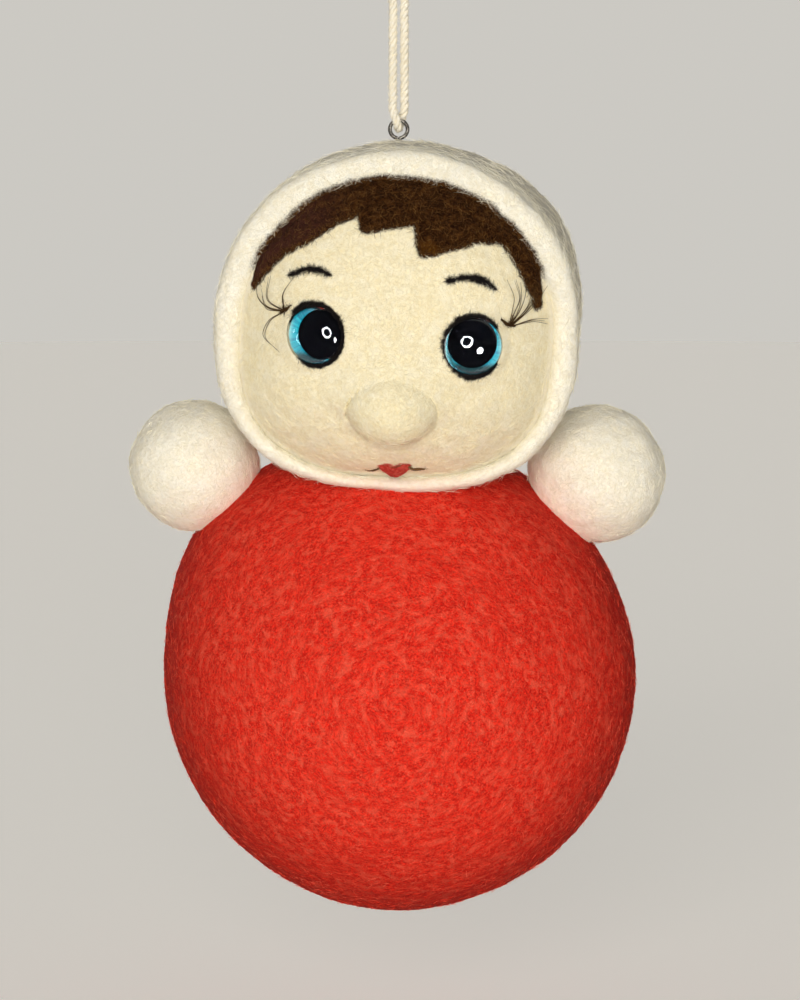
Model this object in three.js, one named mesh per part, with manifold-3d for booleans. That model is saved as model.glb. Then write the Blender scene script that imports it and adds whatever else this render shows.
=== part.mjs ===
// Needle-felted roly-poly doll, hung by a doubled cord through a screw eye. Lengths are in millimetres.
// The origin is the point of the cord loop that a hook bears on, Z is up and the face looks along -Y.
import * as THREE from 'three';
import { mergeVertices } from 'three/addons/utils/BufferGeometryUtils.js';
import Module from 'manifold-3d';

const wasm = await Module();
wasm.setup();

// Clearances
const seatGap = 0.3;
const cutOverrun = 6;
const weldDistance = 0.0001;

// Hanging eye and cord
const ringDrop = 30;
const ringBore = 2.2;
const ringWire = 0.6;
const shankDiameter = 0.9;
const shankLength = 9;
const cordDiameter = 1.37;

// Body ball
const bodyCoreRadius = 34.9;
const bodyCoverThickness = 2.9;
const bodySetBack = 8;
const bodySetRight = 0.3;
const neckOverlap = 5.25;
const neckRadius = 5;
const neckLength = 15;

// Head ball, and the face form on its front
const headHalfWidth = 28.2;
const headHalfHeight = 26.7;
const headBackDepth = 26;
const headSetForward = 5.4;
const headSetRight = 0.1;
const headTurn = THREE.MathUtils.degToRad(1.5);
const headNod = THREE.MathUtils.degToRad(3);
const headLean = THREE.MathUtils.degToRad(2);
const faceHalfWidth = 27.4;
const faceHalfHeight = 26.1;
const faceDepth = 27.5;
const faceCoverThickness = 3;
const faceFullness = 2.6;
const backFullness = 2.2;
const jawFullness = 2.65;

// Hood rim, rolled round the face
const rimThickness = 3.9;
const rimSetBack = 11.2;
const rimDrop = 1.7;
const rimTilt = THREE.MathUtils.degToRad(5);
const faceTuck = 9.5;

// Hands
const handRadius = { left: 10.25, right: 10.85 };
const handSink = { left: 0.8, right: 3.45 };

// Face trim
const noseHalfWidth = 7.2;
const noseHalfHeight = 6.1;
const noseHalfDepth = 6.4;
const noseSink = 1.2;
const fringeThickness = 0.9;
const lipThickness = 0.6;
const browRadius = 0.4;
const mouthCornerRadius = 0.22;
const lashRadius = 0.12;
const lashRootRadius = 0.35;
const lashLift = 1.4;

// Glass eyes
const eyeDiameter = 9;
const eyePupilDiameter = 6.4;
const eyeDomeRise = 2.7;
const eyeEdge = 0.5;
const eyePaint = 0.4;
const eyeSink = 1;
const eyeShankDiameter = 0.9;
const eyeShankLength = 8;
const linerWidth = 0.9;

// Welds a geometry into one indexed skin and leaves out triangles that have shrunk to a line.
function weld(geometry) {
  const bare = geometry.clone();
  bare.deleteAttribute('normal');
  bare.deleteAttribute('uv');
  const merged = mergeVertices(bare, weldDistance);
  const corners = merged.index.array;
  const kept = [];
  for (let i = 0; i < corners.length; i += 3) {
    const [a, b, c] = corners.slice(i, i + 3);
    if (a !== b && b !== c && c !== a) kept.push(a, b, c);
  }
  merged.setIndex(kept);
  return merged;
}

function toSolid(geometry) {
  const welded = weld(geometry);
  return new wasm.Manifold(new wasm.Mesh({
    numProp: 3,
    vertProperties: Float32Array.from(welded.attributes.position.array),
    triVerts: Uint32Array.from(welded.index.array),
  }));
}

function toGeometry(solid) {
  const mesh = solid.getMesh();
  const geometry = new THREE.BufferGeometry();
  geometry.setAttribute('position', new THREE.BufferAttribute(Float32Array.from(mesh.vertProperties), 3));
  geometry.setIndex(new THREE.BufferAttribute(Uint32Array.from(mesh.triVerts), 1));
  return geometry;
}

function cut(geometry, ...tools) {
  return toGeometry(tools.reduce((solid, tool) => solid.subtract(toSolid(tool)), toSolid(geometry)));
}

function join(...geometries) {
  return toGeometry(geometries.map(toSolid).reduce((solid, other) => solid.add(other)));
}

// Moves every vertex of a geometry by a function that changes a Vector3 in place.
function warp(geometry, change) {
  const places = geometry.attributes.position;
  const point = new THREE.Vector3();
  for (let i = 0; i < places.count; i += 1) {
    point.fromBufferAttribute(places, i);
    change(point);
    places.setXYZ(i, point.x, point.y, point.z);
  }
  return geometry;
}

// Raises soft swellings on a form and sinks flats, each fading with the angle from its middle.
function swell(geometry, swellings) {
  return warp(geometry, (point) => {
    const extra = swellings.reduce((sum, { towards, height, spread }) => (
      sum + height * Math.exp(-((point.angleTo(towards) / spread) ** 2))), 0);
    point.setLength(point.length() + extra);
  });
}

function feltBall(radius, slices, rings) {
  return weld(new THREE.SphereGeometry(radius, slices, rings).rotateX(Math.PI / 2));
}

// A round tube along a smooth curve through the points, closed at both ends.
function tube(points, radius, steps, sides) {
  const round = new THREE.EllipseCurve(0, 0, radius, radius).getPoints(sides).slice(0, sides);
  return new THREE.ExtrudeGeometry(new THREE.Shape(round), {
    steps,
    bevelEnabled: false,
    extrudePath: new THREE.CatmullRomCurve3(points, false, 'centripetal'),
  });
}

// A solid of revolution about the Y axis, from [radius, height] pairs that run up its outer side.
function turned(profile, slices) {
  const points = profile.map(([radius, height]) => new THREE.Vector2(radius, height));
  return weld(new THREE.LatheGeometry(points, slices));
}

// A quarter of a superellipse as [radius, height] pairs, from its pole on the axis to its widest circle.
function quarterProfile(radius, depth, fullness, steps) {
  return Array.from({ length: steps + 1 }, (_, i) => {
    const angle = (i / steps) * (Math.PI / 2);
    const along = i === steps ? 0 : Math.cos(angle);
    return [radius * Math.sin(angle) ** (2 / fullness), depth * along ** (2 / fullness)];
  });
}

// A closed solid between a front sheet, side 0, and a back sheet, side 1, over one grid.
function slab(columns, rows, place) {
  const positions = [];
  const corners = [];
  const at = (side, column, row) => (side * (columns + 1) + column) * (rows + 1) + row;
  const quad = (a, b, c, d) => corners.push(a, b, c, a, c, d);
  for (const side of [0, 1]) {
    for (let column = 0; column <= columns; column += 1) {
      for (let row = 0; row <= rows; row += 1) {
        positions.push(...place(column / columns, row / rows, side));
      }
    }
  }
  for (let column = 0; column < columns; column += 1) {
    const next = column + 1;
    for (let row = 0; row < rows; row += 1) {
      quad(at(0, column, row), at(0, next, row), at(0, next, row + 1), at(0, column, row + 1));
      quad(at(1, column, row), at(1, column, row + 1), at(1, next, row + 1), at(1, next, row));
    }
    quad(at(0, column, 0), at(1, column, 0), at(1, next, 0), at(0, next, 0));
    quad(at(0, column, rows), at(0, next, rows), at(1, next, rows), at(1, column, rows));
  }
  for (let row = 0; row < rows; row += 1) {
    quad(at(0, 0, row), at(0, 0, row + 1), at(1, 0, row + 1), at(1, 0, row));
    quad(at(0, columns, row), at(1, columns, row), at(1, columns, row + 1), at(0, columns, row + 1));
  }
  const geometry = new THREE.BufferGeometry();
  geometry.setAttribute('position', new THREE.Float32BufferAttribute(positions, 3));
  geometry.setIndex(corners);
  return geometry;
}

// Makes a named mesh with its own material and adds it to the group that carries it.
function addPiece(group, name, geometry, color, roughness, metalness = 0) {
  const shown = weld(geometry);
  shown.computeVertexNormals();
  const mesh = new THREE.Mesh(shown, new THREE.MeshStandardMaterial({ color, roughness, metalness }));
  mesh.name = name;
  group.add(mesh);
}

// Groups. The doll's frame stands at the middle of the ring, on which it swings.
const ringRadius = (ringBore + ringWire) / 2;
const ringOuterRadius = ringBore / 2 + ringWire;
const bodyRadius = bodyCoreRadius + bodyCoverThickness;
const neckSpan = headHalfHeight + bodyRadius - neckOverlap;
const bodyDrop = Math.sqrt(neckSpan ** 2 - bodySetBack ** 2);
const headPlace = new THREE.Vector3(headSetRight, -headSetForward, -ringOuterRadius - headHalfHeight);
const bodyPlace = new THREE.Vector3(bodySetRight, headPlace.y + bodySetBack, headPlace.z - bodyDrop);

const ornament = new THREE.Group();
const doll = new THREE.Group();
const head = new THREE.Group();
const body = new THREE.Group();
doll.position.set(0, 0, -ringDrop);
head.position.copy(headPlace);
head.rotation.set(headNod, headLean, -headTurn, 'ZYX');
body.position.copy(bodyPlace);
doll.add(head, body);
ornament.add(doll);
ornament.updateMatrixWorld(true);

// Carries a geometry from one group's frame into another's.
function carried(geometry, from, to) {
  const change = to.matrixWorld.clone().invert().multiply(from.matrixWorld);
  return geometry.clone().applyMatrix4(change);
}

// Hanging eye, a small screw eye whose ring faces forward
const ringSlices = 24;
const ringSides = 6;
const shankSides = 8;
const shankPoint = 1.6;
const shankNeck = 0.7;

function hangEyeForm(grow) {
  const wire = ringWire / 2 + grow;
  const thread = shankDiameter / 2 + grow;
  const tip = ringOuterRadius + shankLength + grow;
  const neck = ringOuterRadius + shankNeck - grow;
  const profile = [[0, -tip], [thread, shankPoint - tip], [thread, -neck], [wire, -neck]];
  const shank = turned([...profile, [wire, -ringRadius], [0, -ringRadius]], shankSides);
  const ring = new THREE.TorusGeometry(ringRadius, wire, ringSides, ringSlices);
  return join(ring.rotateX(Math.PI / 2), shank.rotateX(Math.PI / 2));
}

// Cord. Its routes are in the ornament's frame: both legs, the bight in the ring and the knot's tails.
const cordSides = 8;
const cordStep = 1.2 * cordDiameter;
const legRoute = [
  [0.9, 0.8, -25.9], [0.9, 0.8, -25], [0.92, 0.62, -23.4], [0.92, 0.3, -21], [0.92, 0.08, -18],
  [0.92, 0, -14], [0.95, 0, -10], [1.35, 0, -7.6], [2.15, 0, -5.6], [2.4, 0, -3.9],
  [1.9, 0, -2.2], [1.05, 0, -0.7], [0.8, 0, 0.5],
];
const bightRoute = [
  [0.9, 0.8, -26.2], [0.9, 0.8, -26.9], [0.68, 1.1, -27.7], [0.35, 1.29, -28.6], [0.16, 0.97, -29.45],
  [0, 0, -29.89],
  [-0.16, -0.97, -29.45], [-0.35, -1.29, -28.6], [-0.68, -1.1, -27.7],
  [-0.9, -0.8, -26.9], [-0.9, -0.8, -26.2],
];
const tailRoute = [[0.55, 0, 4.4], [0.75, 0.1, 6], [1.5, 0.3, 7.6], [2.5, 0.5, 9.4]];

function cordAlong(route, turnAbout = 1) {
  const points = route.map(([x, y, z]) => new THREE.Vector3(x * turnAbout, y * turnAbout, z));
  const length = new THREE.CatmullRomCurve3(points, false, 'centripetal').getLength();
  return tube(points, cordDiameter / 2, Math.ceil(length / cordStep), cordSides);
}

// Knot that closes the loop, with its two cut tails
const knotRadius = 2.1;
const knotBottom = 0.8;
const knotHeight = 4.6;
const knotSlices = 12;
const knotRoundShares = [
  [0, 0], [0.62, 0], [0.92, 0.14], [1, 0.36], [0.93, 0.55], [1, 0.7], [0.85, 0.92], [0.5, 1], [0, 1],
];

function cordKnot() {
  const profile = knotRoundShares.map(([out, up]) => [knotRadius * out, knotHeight * up]);
  const barrel = turned(profile, knotSlices).rotateX(Math.PI / 2).translate(0, 0, knotBottom);
  return join(barrel, cordAlong(tailRoute), cordAlong(tailRoute, -1));
}

// Body, a core ball of white wool under a cover of red wool
const bodySlices = 32;
const bodyRings = 16;
const coreSlices = 20;
const coreRings = 10;
const bodySwellings = [
  { towards: new THREE.Vector3(-0.72, -0.1, 0.7), height: 2.6, spread: 0.5 },
  { towards: new THREE.Vector3(0.8, -0.1, 0.58), height: -0.5, spread: 0.4 },
];
const bodyForm = (grow) => swell(feltBall(bodyRadius + grow, bodySlices, bodyRings), bodySwellings);
const bodyCoreForm = (grow) => feltBall(bodyCoreRadius + grow, coreSlices, coreRings);

// Neck tuft, a wad of wool needled into a socket of both cores
const neckSlices = 12;
const neckRoundShares = [
  [0, -0.5], [0.6, -0.48], [0.92, -0.38], [1, -0.2], [0.9, 0],
  [1, 0.2], [0.92, 0.38], [0.6, 0.48], [0, 0.5],
];

function neckForm(grow) {
  const towardsHead = bodyPlace.clone().sub(headPlace).normalize().negate();
  const profile = neckRoundShares.map(([out, along]) => [
    out === 0 ? 0 : neckRadius * out + grow,
    (neckLength + 2 * grow) * along,
  ]);
  const upright = new THREE.Quaternion().setFromUnitVectors(new THREE.Vector3(0, 1, 0), towardsHead);
  const middle = towardsHead.clone().multiplyScalar(bodyRadius);
  return turned(profile, neckSlices).applyQuaternion(upright).translate(middle.x, middle.y, middle.z);
}

// Head forms, revolved about the Y axis, so that their front pole comes first
const headSlices = 36;
const headSteps = 7;
const frontQuarter = (radius, depth) => quarterProfile(radius, -depth, faceFullness, headSteps);
const backQuarter = (radius, depth) => quarterProfile(radius, depth, backFullness, headSteps).reverse();

// The head's outline is an ellipse above the middle and squarer below it for the jaw, less so at the back.
function jawShare(across, up) {
  const reach = Math.hypot(across, up);
  if (up >= 0 || reach === 0) return 1;
  const sideways = Math.abs(across / reach) ** jawFullness;
  return (sideways + Math.abs(up / reach) ** jawFullness) ** (-1 / jawFullness);
}

function shapeHead(geometry, heightShare) {
  return warp(geometry, (point) => {
    const roundness = THREE.MathUtils.smoothstep(point.y, 0, headBackDepth);
    const share = THREE.MathUtils.lerp(jawShare(point.x, point.z), 1, roundness);
    point.x *= share;
    point.z *= share * heightShare;
  });
}

function headCoreForm(grow) {
  const inset = grow - faceCoverThickness;
  const backInset = inset + faceHalfWidth - headHalfWidth;
  const profile = [
    ...frontQuarter(faceHalfWidth + inset, faceDepth + inset),
    ...backQuarter(faceHalfWidth + inset, headBackDepth + backInset).slice(1),
  ];
  return shapeHead(turned(profile, headSlices), faceHalfHeight / faceHalfWidth);
}

// The face form runs from its front pole out to its edge, which is tucked under the hood.
function faceForm(grow) {
  const tuck = faceTuck - grow;
  const radius = faceHalfWidth + grow;
  const depth = faceDepth + grow;
  const edge = radius * (1 - (tuck / depth) ** faceFullness) ** (1 / faceFullness);
  const dome = frontQuarter(radius, depth).filter(([, height]) => height < -tuck);
  const form = turned([...dome, [edge, -tuck], [0, -tuck]], headSlices);
  return shapeHead(form, faceHalfHeight / faceHalfWidth);
}

// The hood is a bowl whose front edge is rolled into a rim, leaning and lowered round the face, and fuller
// at two places above it.
const rimSteps = 6;
const rimRoll = rimThickness / 2;
const rimOuter = headHalfWidth - seatGap;
const rimCentre = rimOuter - rimRoll;
const rimPlane = rimSetBack - faceDepth;
const hoodFoot = -(faceTuck + rimThickness);
const rimFullnesses = [
  { towards: THREE.MathUtils.degToRad(138), width: 1.7, spread: 0.5 },
  { towards: THREE.MathUtils.degToRad(48), width: 0.9, spread: 0.4 },
];
const hoodSwellings = [
  { towards: new THREE.Vector3(0.78, 0.3, 0.5), height: 1.6, spread: 0.5 },
  { towards: new THREE.Vector3(-0.75, 0.3, 0.6), height: -1, spread: 0.5 },
];

function angleBetween(a, b) {
  return Math.abs(Math.atan2(Math.sin(a - b), Math.cos(a - b)));
}

function hoodForm(grow) {
  const roll = Array.from({ length: rimSteps + 1 }, (_, i) => {
    const angle = Math.PI * (1 - i / rimSteps);
    const reach = rimRoll + grow;
    return [rimCentre + reach * Math.cos(angle), rimPlane - reach * Math.sin(angle)];
  });
  const foot = [[0, hoodFoot], [rimCentre - rimRoll - grow, hoodFoot]];
  const profile = [...foot, ...roll, ...backQuarter(headHalfWidth + grow, headBackDepth + grow)];
  const bowl = warp(turned(profile, headSlices), (point) => {
    const out = Math.hypot(point.x, point.z);
    const forward = THREE.MathUtils.smoothstep(-point.y, 0, -rimPlane);
    const inward = THREE.MathUtils.clamp((rimOuter - out) / rimThickness, 0, 1);
    point.y -= point.z * Math.tan(rimTilt) * forward;
    point.z -= rimDrop * inward * forward;
    const turn = Math.atan2(point.z, point.x);
    const extra = rimFullnesses.reduce((sum, { towards, width, spread }) => (
      sum + width * Math.exp(-((angleBetween(turn, towards) / spread) ** 2))), 0);
    const share = 1 - (extra / rimCentre) * inward * forward;
    point.x *= share;
    point.z *= share;
  });
  return swell(shapeHead(bowl, headHalfHeight / headHalfWidth), hoodSwellings);
}

// Points on the face, from [across, up] shares of its half width and half height
const probeShare = 0.001;

function faceHeightAt(across, up) {
  const reach = Math.min(1, Math.hypot(across, up) / jawShare(across, up));
  return -faceDepth * (1 - reach ** faceFullness) ** (1 / faceFullness);
}

function faceNormalAt([across, up]) {
  const spanX = 2 * probeShare * faceHalfWidth;
  const spanZ = 2 * probeShare * faceHalfHeight;
  const slopeX = (faceHeightAt(across + probeShare, up) - faceHeightAt(across - probeShare, up)) / spanX;
  const slopeZ = (faceHeightAt(across, up + probeShare) - faceHeightAt(across, up - probeShare)) / spanZ;
  return new THREE.Vector3(slopeX, -1, slopeZ).normalize();
}

function facePoint(share, lift) {
  const [across, up] = share;
  const point = new THREE.Vector3(across * faceHalfWidth, faceHeightAt(across, up), up * faceHalfHeight);
  return point.addScaledVector(faceNormalAt(share), lift);
}

// A flat wad of wool on the face. Each row pairs a point of its lower edge with one of its upper edge.
const wadRows = 3;

function faceWad(edgeShares, thickness) {
  const spans = edgeShares.length - 1;
  return slab(spans, wadRows, (along, up, side) => {
    const [lower, upper] = edgeShares[Math.round(along * spans)];
    const share = lower.map((value, axis) => THREE.MathUtils.lerp(value, upper[axis], up));
    return facePoint(share, seatGap + (1 - side) * thickness);
  });
}

// A strand of wool or hair over the face, which may rise off it towards its tip.
const strandSides = 5;
const strandStepsBetween = 2;

function faceStrand(strandShares, radius, tipLift = 0) {
  const spans = strandShares.length - 1;
  const lift = seatGap + radius;
  const points = strandShares.map((share, i) => facePoint(share, lift + (tipLift * i) / spans));
  return tube(points, radius, spans * strandStepsBetween, strandSides);
}

// Nose, a small felt ball pressed into the face
const noseShare = [0.003, -0.475];
const noseSlices = 18;
const noseRings = 10;

function nose() {
  const ball = weld(new THREE.SphereGeometry(1, noseSlices, noseRings));
  const middle = facePoint(noseShare, -noseSink);
  ball.scale(noseHalfWidth, noseHalfDepth, noseHalfHeight).translate(middle.x, middle.y, middle.z);
  return cut(ball, faceForm(seatGap));
}

// Hair fringe, with a notch at the left and a square lock at the right
const fringeShares = [
  [[-0.805, 0.18], [-0.82, 0.21]],
  [[-0.692, 0.34], [-0.79, 0.39]],
  [[-0.629, 0.405], [-0.735, 0.48]],
  [[-0.514, 0.467], [-0.6, 0.63]],
  [[-0.439, 0.524], [-0.5, 0.71]],
  [[-0.303, 0.608], [-0.345, 0.8]],
  [[-0.234, 0.644], [-0.26, 0.83]],
  [[-0.219, 0.668], [-0.23, 0.838]],
  [[-0.213, 0.632], [-0.215, 0.842]],
  [[-0.198, 0.564], [-0.2, 0.845]],
  [[-0.172, 0.553], [-0.175, 0.85]],
  [[-0.048, 0.583], [-0.05, 0.865]],
  [[0.077, 0.61], [0.08, 0.865]],
  [[0.102, 0.607], [0.103, 0.862]],
  [[0.108, 0.519], [0.115, 0.86]],
  [[0.13, 0.436], [0.14, 0.857]],
  [[0.205, 0.438], [0.215, 0.845]],
  [[0.267, 0.465], [0.285, 0.825]],
  [[0.366, 0.492], [0.4, 0.775]],
  [[0.453, 0.511], [0.51, 0.71]],
  [[0.535, 0.509], [0.61, 0.625]],
  [[0.58, 0.483], [0.67, 0.56]],
  [[0.646, 0.393], [0.75, 0.45]],
  [[0.701, 0.301], [0.805, 0.34]],
  [[0.761, 0.193], [0.84, 0.22]],
  [[0.796, 0.132], [0.83, 0.145]],
];

// Lips and the strokes at the corners of the mouth
const lipShares = [
  [[-0.066, -0.85], [-0.062, -0.838]],
  [[-0.029, -0.885], [-0.022, -0.829]],
  [[0.008, -0.915], [0.012, -0.851]],
  [[0.03, -0.915], [0.024, -0.85]],
  [[0.066, -0.888], [0.056, -0.827]],
  [[0.099, -0.844], [0.095, -0.83]],
];
const mouthCornerShares = {
  left: [[-0.15, -0.87], [-0.115, -0.878], [-0.088, -0.88]],
  right: [[0.12, -0.855], [0.155, -0.85], [0.19, -0.849]],
};

// Eyebrows, and eyelashes that spread from one root at the outer corner of each eye
const browShares = {
  left: [[-0.589, 0.283], [-0.507, 0.32], [-0.441, 0.328], [-0.362, 0.301]],
  right: [[0.28, 0.291], [0.398, 0.312], [0.474, 0.293], [0.545, 0.247]],
};
const lashRootShares = {
  left: [[-0.57, 0.115], [-0.6, 0.085], [-0.63, 0.068]],
  right: [[0.58, 0.075], [0.62, 0.045], [0.66, 0.035]],
};
const lashShares = {
  left: [
    [[-0.61, 0.075], [-0.685, 0.084], [-0.735, 0.133], [-0.74, 0.251]],
    [[-0.61, 0.075], [-0.703, 0.103], [-0.71, 0.187]],
    [[-0.61, 0.075], [-0.687, 0.132], [-0.663, 0.261]],
    [[-0.61, 0.08], [-0.61, 0.156], [-0.545, 0.26]],
    [[-0.615, 0.07], [-0.685, 0.014], [-0.705, -0.059], [-0.618, -0.144]],
  ],
  right: [
    [[0.63, 0.045], [0.645, 0.117], [0.658, 0.18], [0.62, 0.286]],
    [[0.635, 0.045], [0.67, 0.116], [0.687, 0.2], [0.68, 0.29]],
    [[0.64, 0.045], [0.715, 0.135], [0.742, 0.272]],
    [[0.645, 0.04], [0.734, 0.155], [0.762, 0.25]],
    [[0.65, 0.037], [0.75, 0.071], [0.8, 0.07]],
  ],
};

function eyelash(side) {
  const hairs = lashShares[side].map((shares) => faceStrand(shares, lashRadius, lashLift));
  return join(faceStrand(lashRootShares[side], lashRootRadius), ...hairs);
}

// Glass eyes. The Y axis of an eye's group points out of the face.
const eyeSlices = 20;
const eyeDomeSteps = 4;
const eyeDomeFullness = 2;
const eyeRadius = eyeDiameter / 2;
const pupilRadius = eyePupilDiameter / 2;
const paintFront = -(eyeSink + seatGap);
const paintBack = paintFront - eyePaint;
const eyeFloor = paintBack - seatGap;
const eyes = [
  { side: 'left', share: [-0.433, -0.049], turn: THREE.MathUtils.degToRad(-10) },
  { side: 'right', share: [0.434, -0.08], turn: THREE.MathUtils.degToRad(-4) },
];

function eyeGroup(eye) {
  const group = new THREE.Group();
  const outward = faceNormalAt(eye.share).applyAxisAngle(new THREE.Vector3(0, 0, 1), eye.turn);
  group.quaternion.setFromUnitVectors(new THREE.Vector3(0, 1, 0), outward);
  group.position.copy(facePoint(eye.share, 0));
  head.add(group);
  group.updateMatrixWorld(true);
  return group;
}

function eyeGlass() {
  const rise = eyeEdge - eyeSink;
  const dome = quarterProfile(eyeRadius, eyeDomeRise, eyeDomeFullness, eyeDomeSteps).reverse();
  const raised = dome.map(([out, up]) => [out, up + rise]);
  return turned([[0, -eyeSink], [eyeRadius, -eyeSink], ...raised], eyeSlices);
}

function roundBar(radius, bottom, top, sides) {
  return turned([[0, bottom], [radius, bottom], [radius, top], [0, top]], sides);
}

function eyeIris() {
  const bore = roundBar(pupilRadius + seatGap, eyeFloor, cutOverrun, eyeSlices);
  return cut(roundBar(eyeRadius, paintBack, paintFront, eyeSlices), bore);
}

function eyePupil() {
  return roundBar(pupilRadius, paintBack, paintFront, eyeSlices);
}

function eyeShank(grow) {
  const bottom = eyeFloor - eyeShankLength - grow;
  return roundBar(eyeShankDiameter / 2 + grow, bottom, eyeFloor + grow, shankSides);
}

function eyeSocket() {
  return roundBar(eyeRadius + seatGap, eyeFloor, cutOverrun, eyeSlices);
}

// The liner is a ring of black wool that shows where it stands proud of the face.
const linerSides = 6;

function eyeLiner(group) {
  const middle = eyeRadius + seatGap + linerWidth / 2;
  const ring = new THREE.TorusGeometry(middle, linerWidth / 2, linerSides, eyeSlices);
  return cut(ring.rotateX(Math.PI / 2), carried(faceForm(seatGap), head, group));
}

// Hands, felt balls needled to the shoulders
const handSlices = 20;
const handRings = 12;
const handTowards = {
  left: new THREE.Vector3(-0.694, -0.076, 0.716).normalize(),
  right: new THREE.Vector3(0.69, -0.078, 0.719).normalize(),
};

function hand(side) {
  const place = handTowards[side].clone().multiplyScalar(bodyRadius + handRadius[side] - handSink[side]);
  const ball = feltBall(handRadius[side], handSlices, handRings).translate(place.x, place.y, place.z);
  return cut(ball, bodyForm(seatGap), carried(hoodForm(seatGap), head, body));
}

// Colours
const redWool = '#e8321f';
const coreWool = '#e9e1cf';
const faceWool = '#f4e6c2';
const hoodWool = '#faf5e0';
const hairWool = '#3f2415';
const blackWool = '#2a2420';
const brownWool = '#8b6a4a';
const lipWool = '#c93a32';
const irisPaint = '#3fb6d2';
const pupilPaint = '#0b0b0d';
const clearGlass = '#dfe9ec';
const darkSteel = '#4c4a47';
const creamCotton = '#f0e7d0';
const feltRoughness = 0.95;
const steelRoughness = 0.35;
const glassRoughness = 0.05;

function addBody() {
  const cover = cut(bodyForm(0), bodyCoreForm(seatGap), neckForm(seatGap));
  addPiece(body, 'body_core', cut(bodyCoreForm(0), neckForm(seatGap)), coreWool, feltRoughness);
  addPiece(body, 'body_cover', cover, redWool, feltRoughness);
  addPiece(body, 'neck_tuft', neckForm(0), coreWool, feltRoughness);
  for (const side of ['left', 'right']) {
    addPiece(body, `hand_${side}`, hand(side), hoodWool, feltRoughness);
  }
}

function addEye(eye) {
  const group = eyeGroup(eye);
  addPiece(group, `eye_glass_${eye.side}`, eyeGlass(), clearGlass, glassRoughness);
  addPiece(group, `eye_iris_${eye.side}`, eyeIris(), irisPaint, glassRoughness);
  addPiece(group, `eye_pupil_${eye.side}`, eyePupil(), pupilPaint, glassRoughness);
  addPiece(group, `eye_shank_${eye.side}`, eyeShank(0), darkSteel, steelRoughness, 1);
  addPiece(group, `eye_liner_${eye.side}`, eyeLiner(group), blackWool, feltRoughness);
  return [carried(eyeSocket(), group, head), carried(eyeShank(seatGap), group, head)];
}

function addHead() {
  const eyeCuts = eyes.flatMap(addEye);
  const bodyCut = carried(bodyForm(seatGap), body, head);
  const neckCut = carried(neckForm(seatGap), body, head);
  const hangCut = carried(hangEyeForm(seatGap), doll, head);
  const rimCut = hoodForm(seatGap);
  const core = cut(headCoreForm(0), bodyCut, neckCut, hangCut, ...eyeCuts);
  const cover = cut(faceForm(0), headCoreForm(seatGap), bodyCut, ...eyeCuts);
  const hood = cut(hoodForm(0), headCoreForm(seatGap), faceForm(seatGap), bodyCut, hangCut);
  addPiece(head, 'head_core', core, coreWool, feltRoughness);
  addPiece(head, 'face_cover', cover, faceWool, feltRoughness);
  addPiece(head, 'hood', hood, hoodWool, feltRoughness);
  addPiece(head, 'nose', nose(), faceWool, feltRoughness);
  const fringe = cut(faceWad(fringeShares, fringeThickness), rimCut);
  const lips = cut(faceWad(lipShares, lipThickness), rimCut);
  addPiece(head, 'hair_fringe', fringe, hairWool, feltRoughness);
  addPiece(head, 'lips', lips, lipWool, feltRoughness);
  for (const side of ['left', 'right']) {
    const corner = faceStrand(mouthCornerShares[side], mouthCornerRadius);
    const brow = faceStrand(browShares[side], browRadius);
    addPiece(head, `mouth_corner_${side}`, corner, brownWool, feltRoughness);
    addPiece(head, `eyebrow_${side}`, brow, blackWool, feltRoughness);
    addPiece(head, `eyelash_${side}`, eyelash(side), blackWool, feltRoughness);
  }
}

function addHanging() {
  addPiece(doll, 'hang_eye', hangEyeForm(0), darkSteel, steelRoughness, 1);
  addPiece(ornament, 'cord_bight', cordAlong(bightRoute), creamCotton, feltRoughness);
  addPiece(ornament, 'cord_leg_left', cordAlong(legRoute, -1), creamCotton, feltRoughness);
  addPiece(ornament, 'cord_leg_right', cordAlong(legRoute), creamCotton, feltRoughness);
  addPiece(ornament, 'cord_knot', cordKnot(), creamCotton, feltRoughness);
}

addBody();
addHead();
addHanging();

export default ornament;
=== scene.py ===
import math
import bpy
import numpy as np
from mathutils import Matrix, Vector, noise
from mathutils.bvhtree import BVHTree


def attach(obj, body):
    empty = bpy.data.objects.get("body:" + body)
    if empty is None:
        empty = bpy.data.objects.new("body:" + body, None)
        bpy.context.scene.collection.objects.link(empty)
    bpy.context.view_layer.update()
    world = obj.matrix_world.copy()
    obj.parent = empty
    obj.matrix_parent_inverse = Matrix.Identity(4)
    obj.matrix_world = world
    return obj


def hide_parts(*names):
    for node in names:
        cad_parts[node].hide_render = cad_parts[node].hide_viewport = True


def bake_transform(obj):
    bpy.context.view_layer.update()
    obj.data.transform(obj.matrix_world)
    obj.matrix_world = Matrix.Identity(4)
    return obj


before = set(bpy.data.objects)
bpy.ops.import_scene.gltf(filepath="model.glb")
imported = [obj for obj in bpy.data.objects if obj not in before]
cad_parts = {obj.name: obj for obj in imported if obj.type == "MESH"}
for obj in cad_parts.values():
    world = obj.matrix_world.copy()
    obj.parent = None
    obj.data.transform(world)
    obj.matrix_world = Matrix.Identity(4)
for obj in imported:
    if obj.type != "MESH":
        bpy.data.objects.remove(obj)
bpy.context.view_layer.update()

# Camera. It stands straight in front of the hanging doll, a little above its middle and about
# 0.6 m away, and sees a field that is a little taller than the doll.
mm = 0.001
view_rise = math.radians(6)
view_distance = 600 * mm
view_middle = Vector((0.2, 0, -88.85)) * mm
view_width = 127.6 * mm


def new_object(name, data):
    """An object in the scene that shows a mesh, a lamp or a camera."""
    thing = bpy.data.objects.new(name, data)
    bpy.context.collection.objects.link(thing)
    return thing


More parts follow.
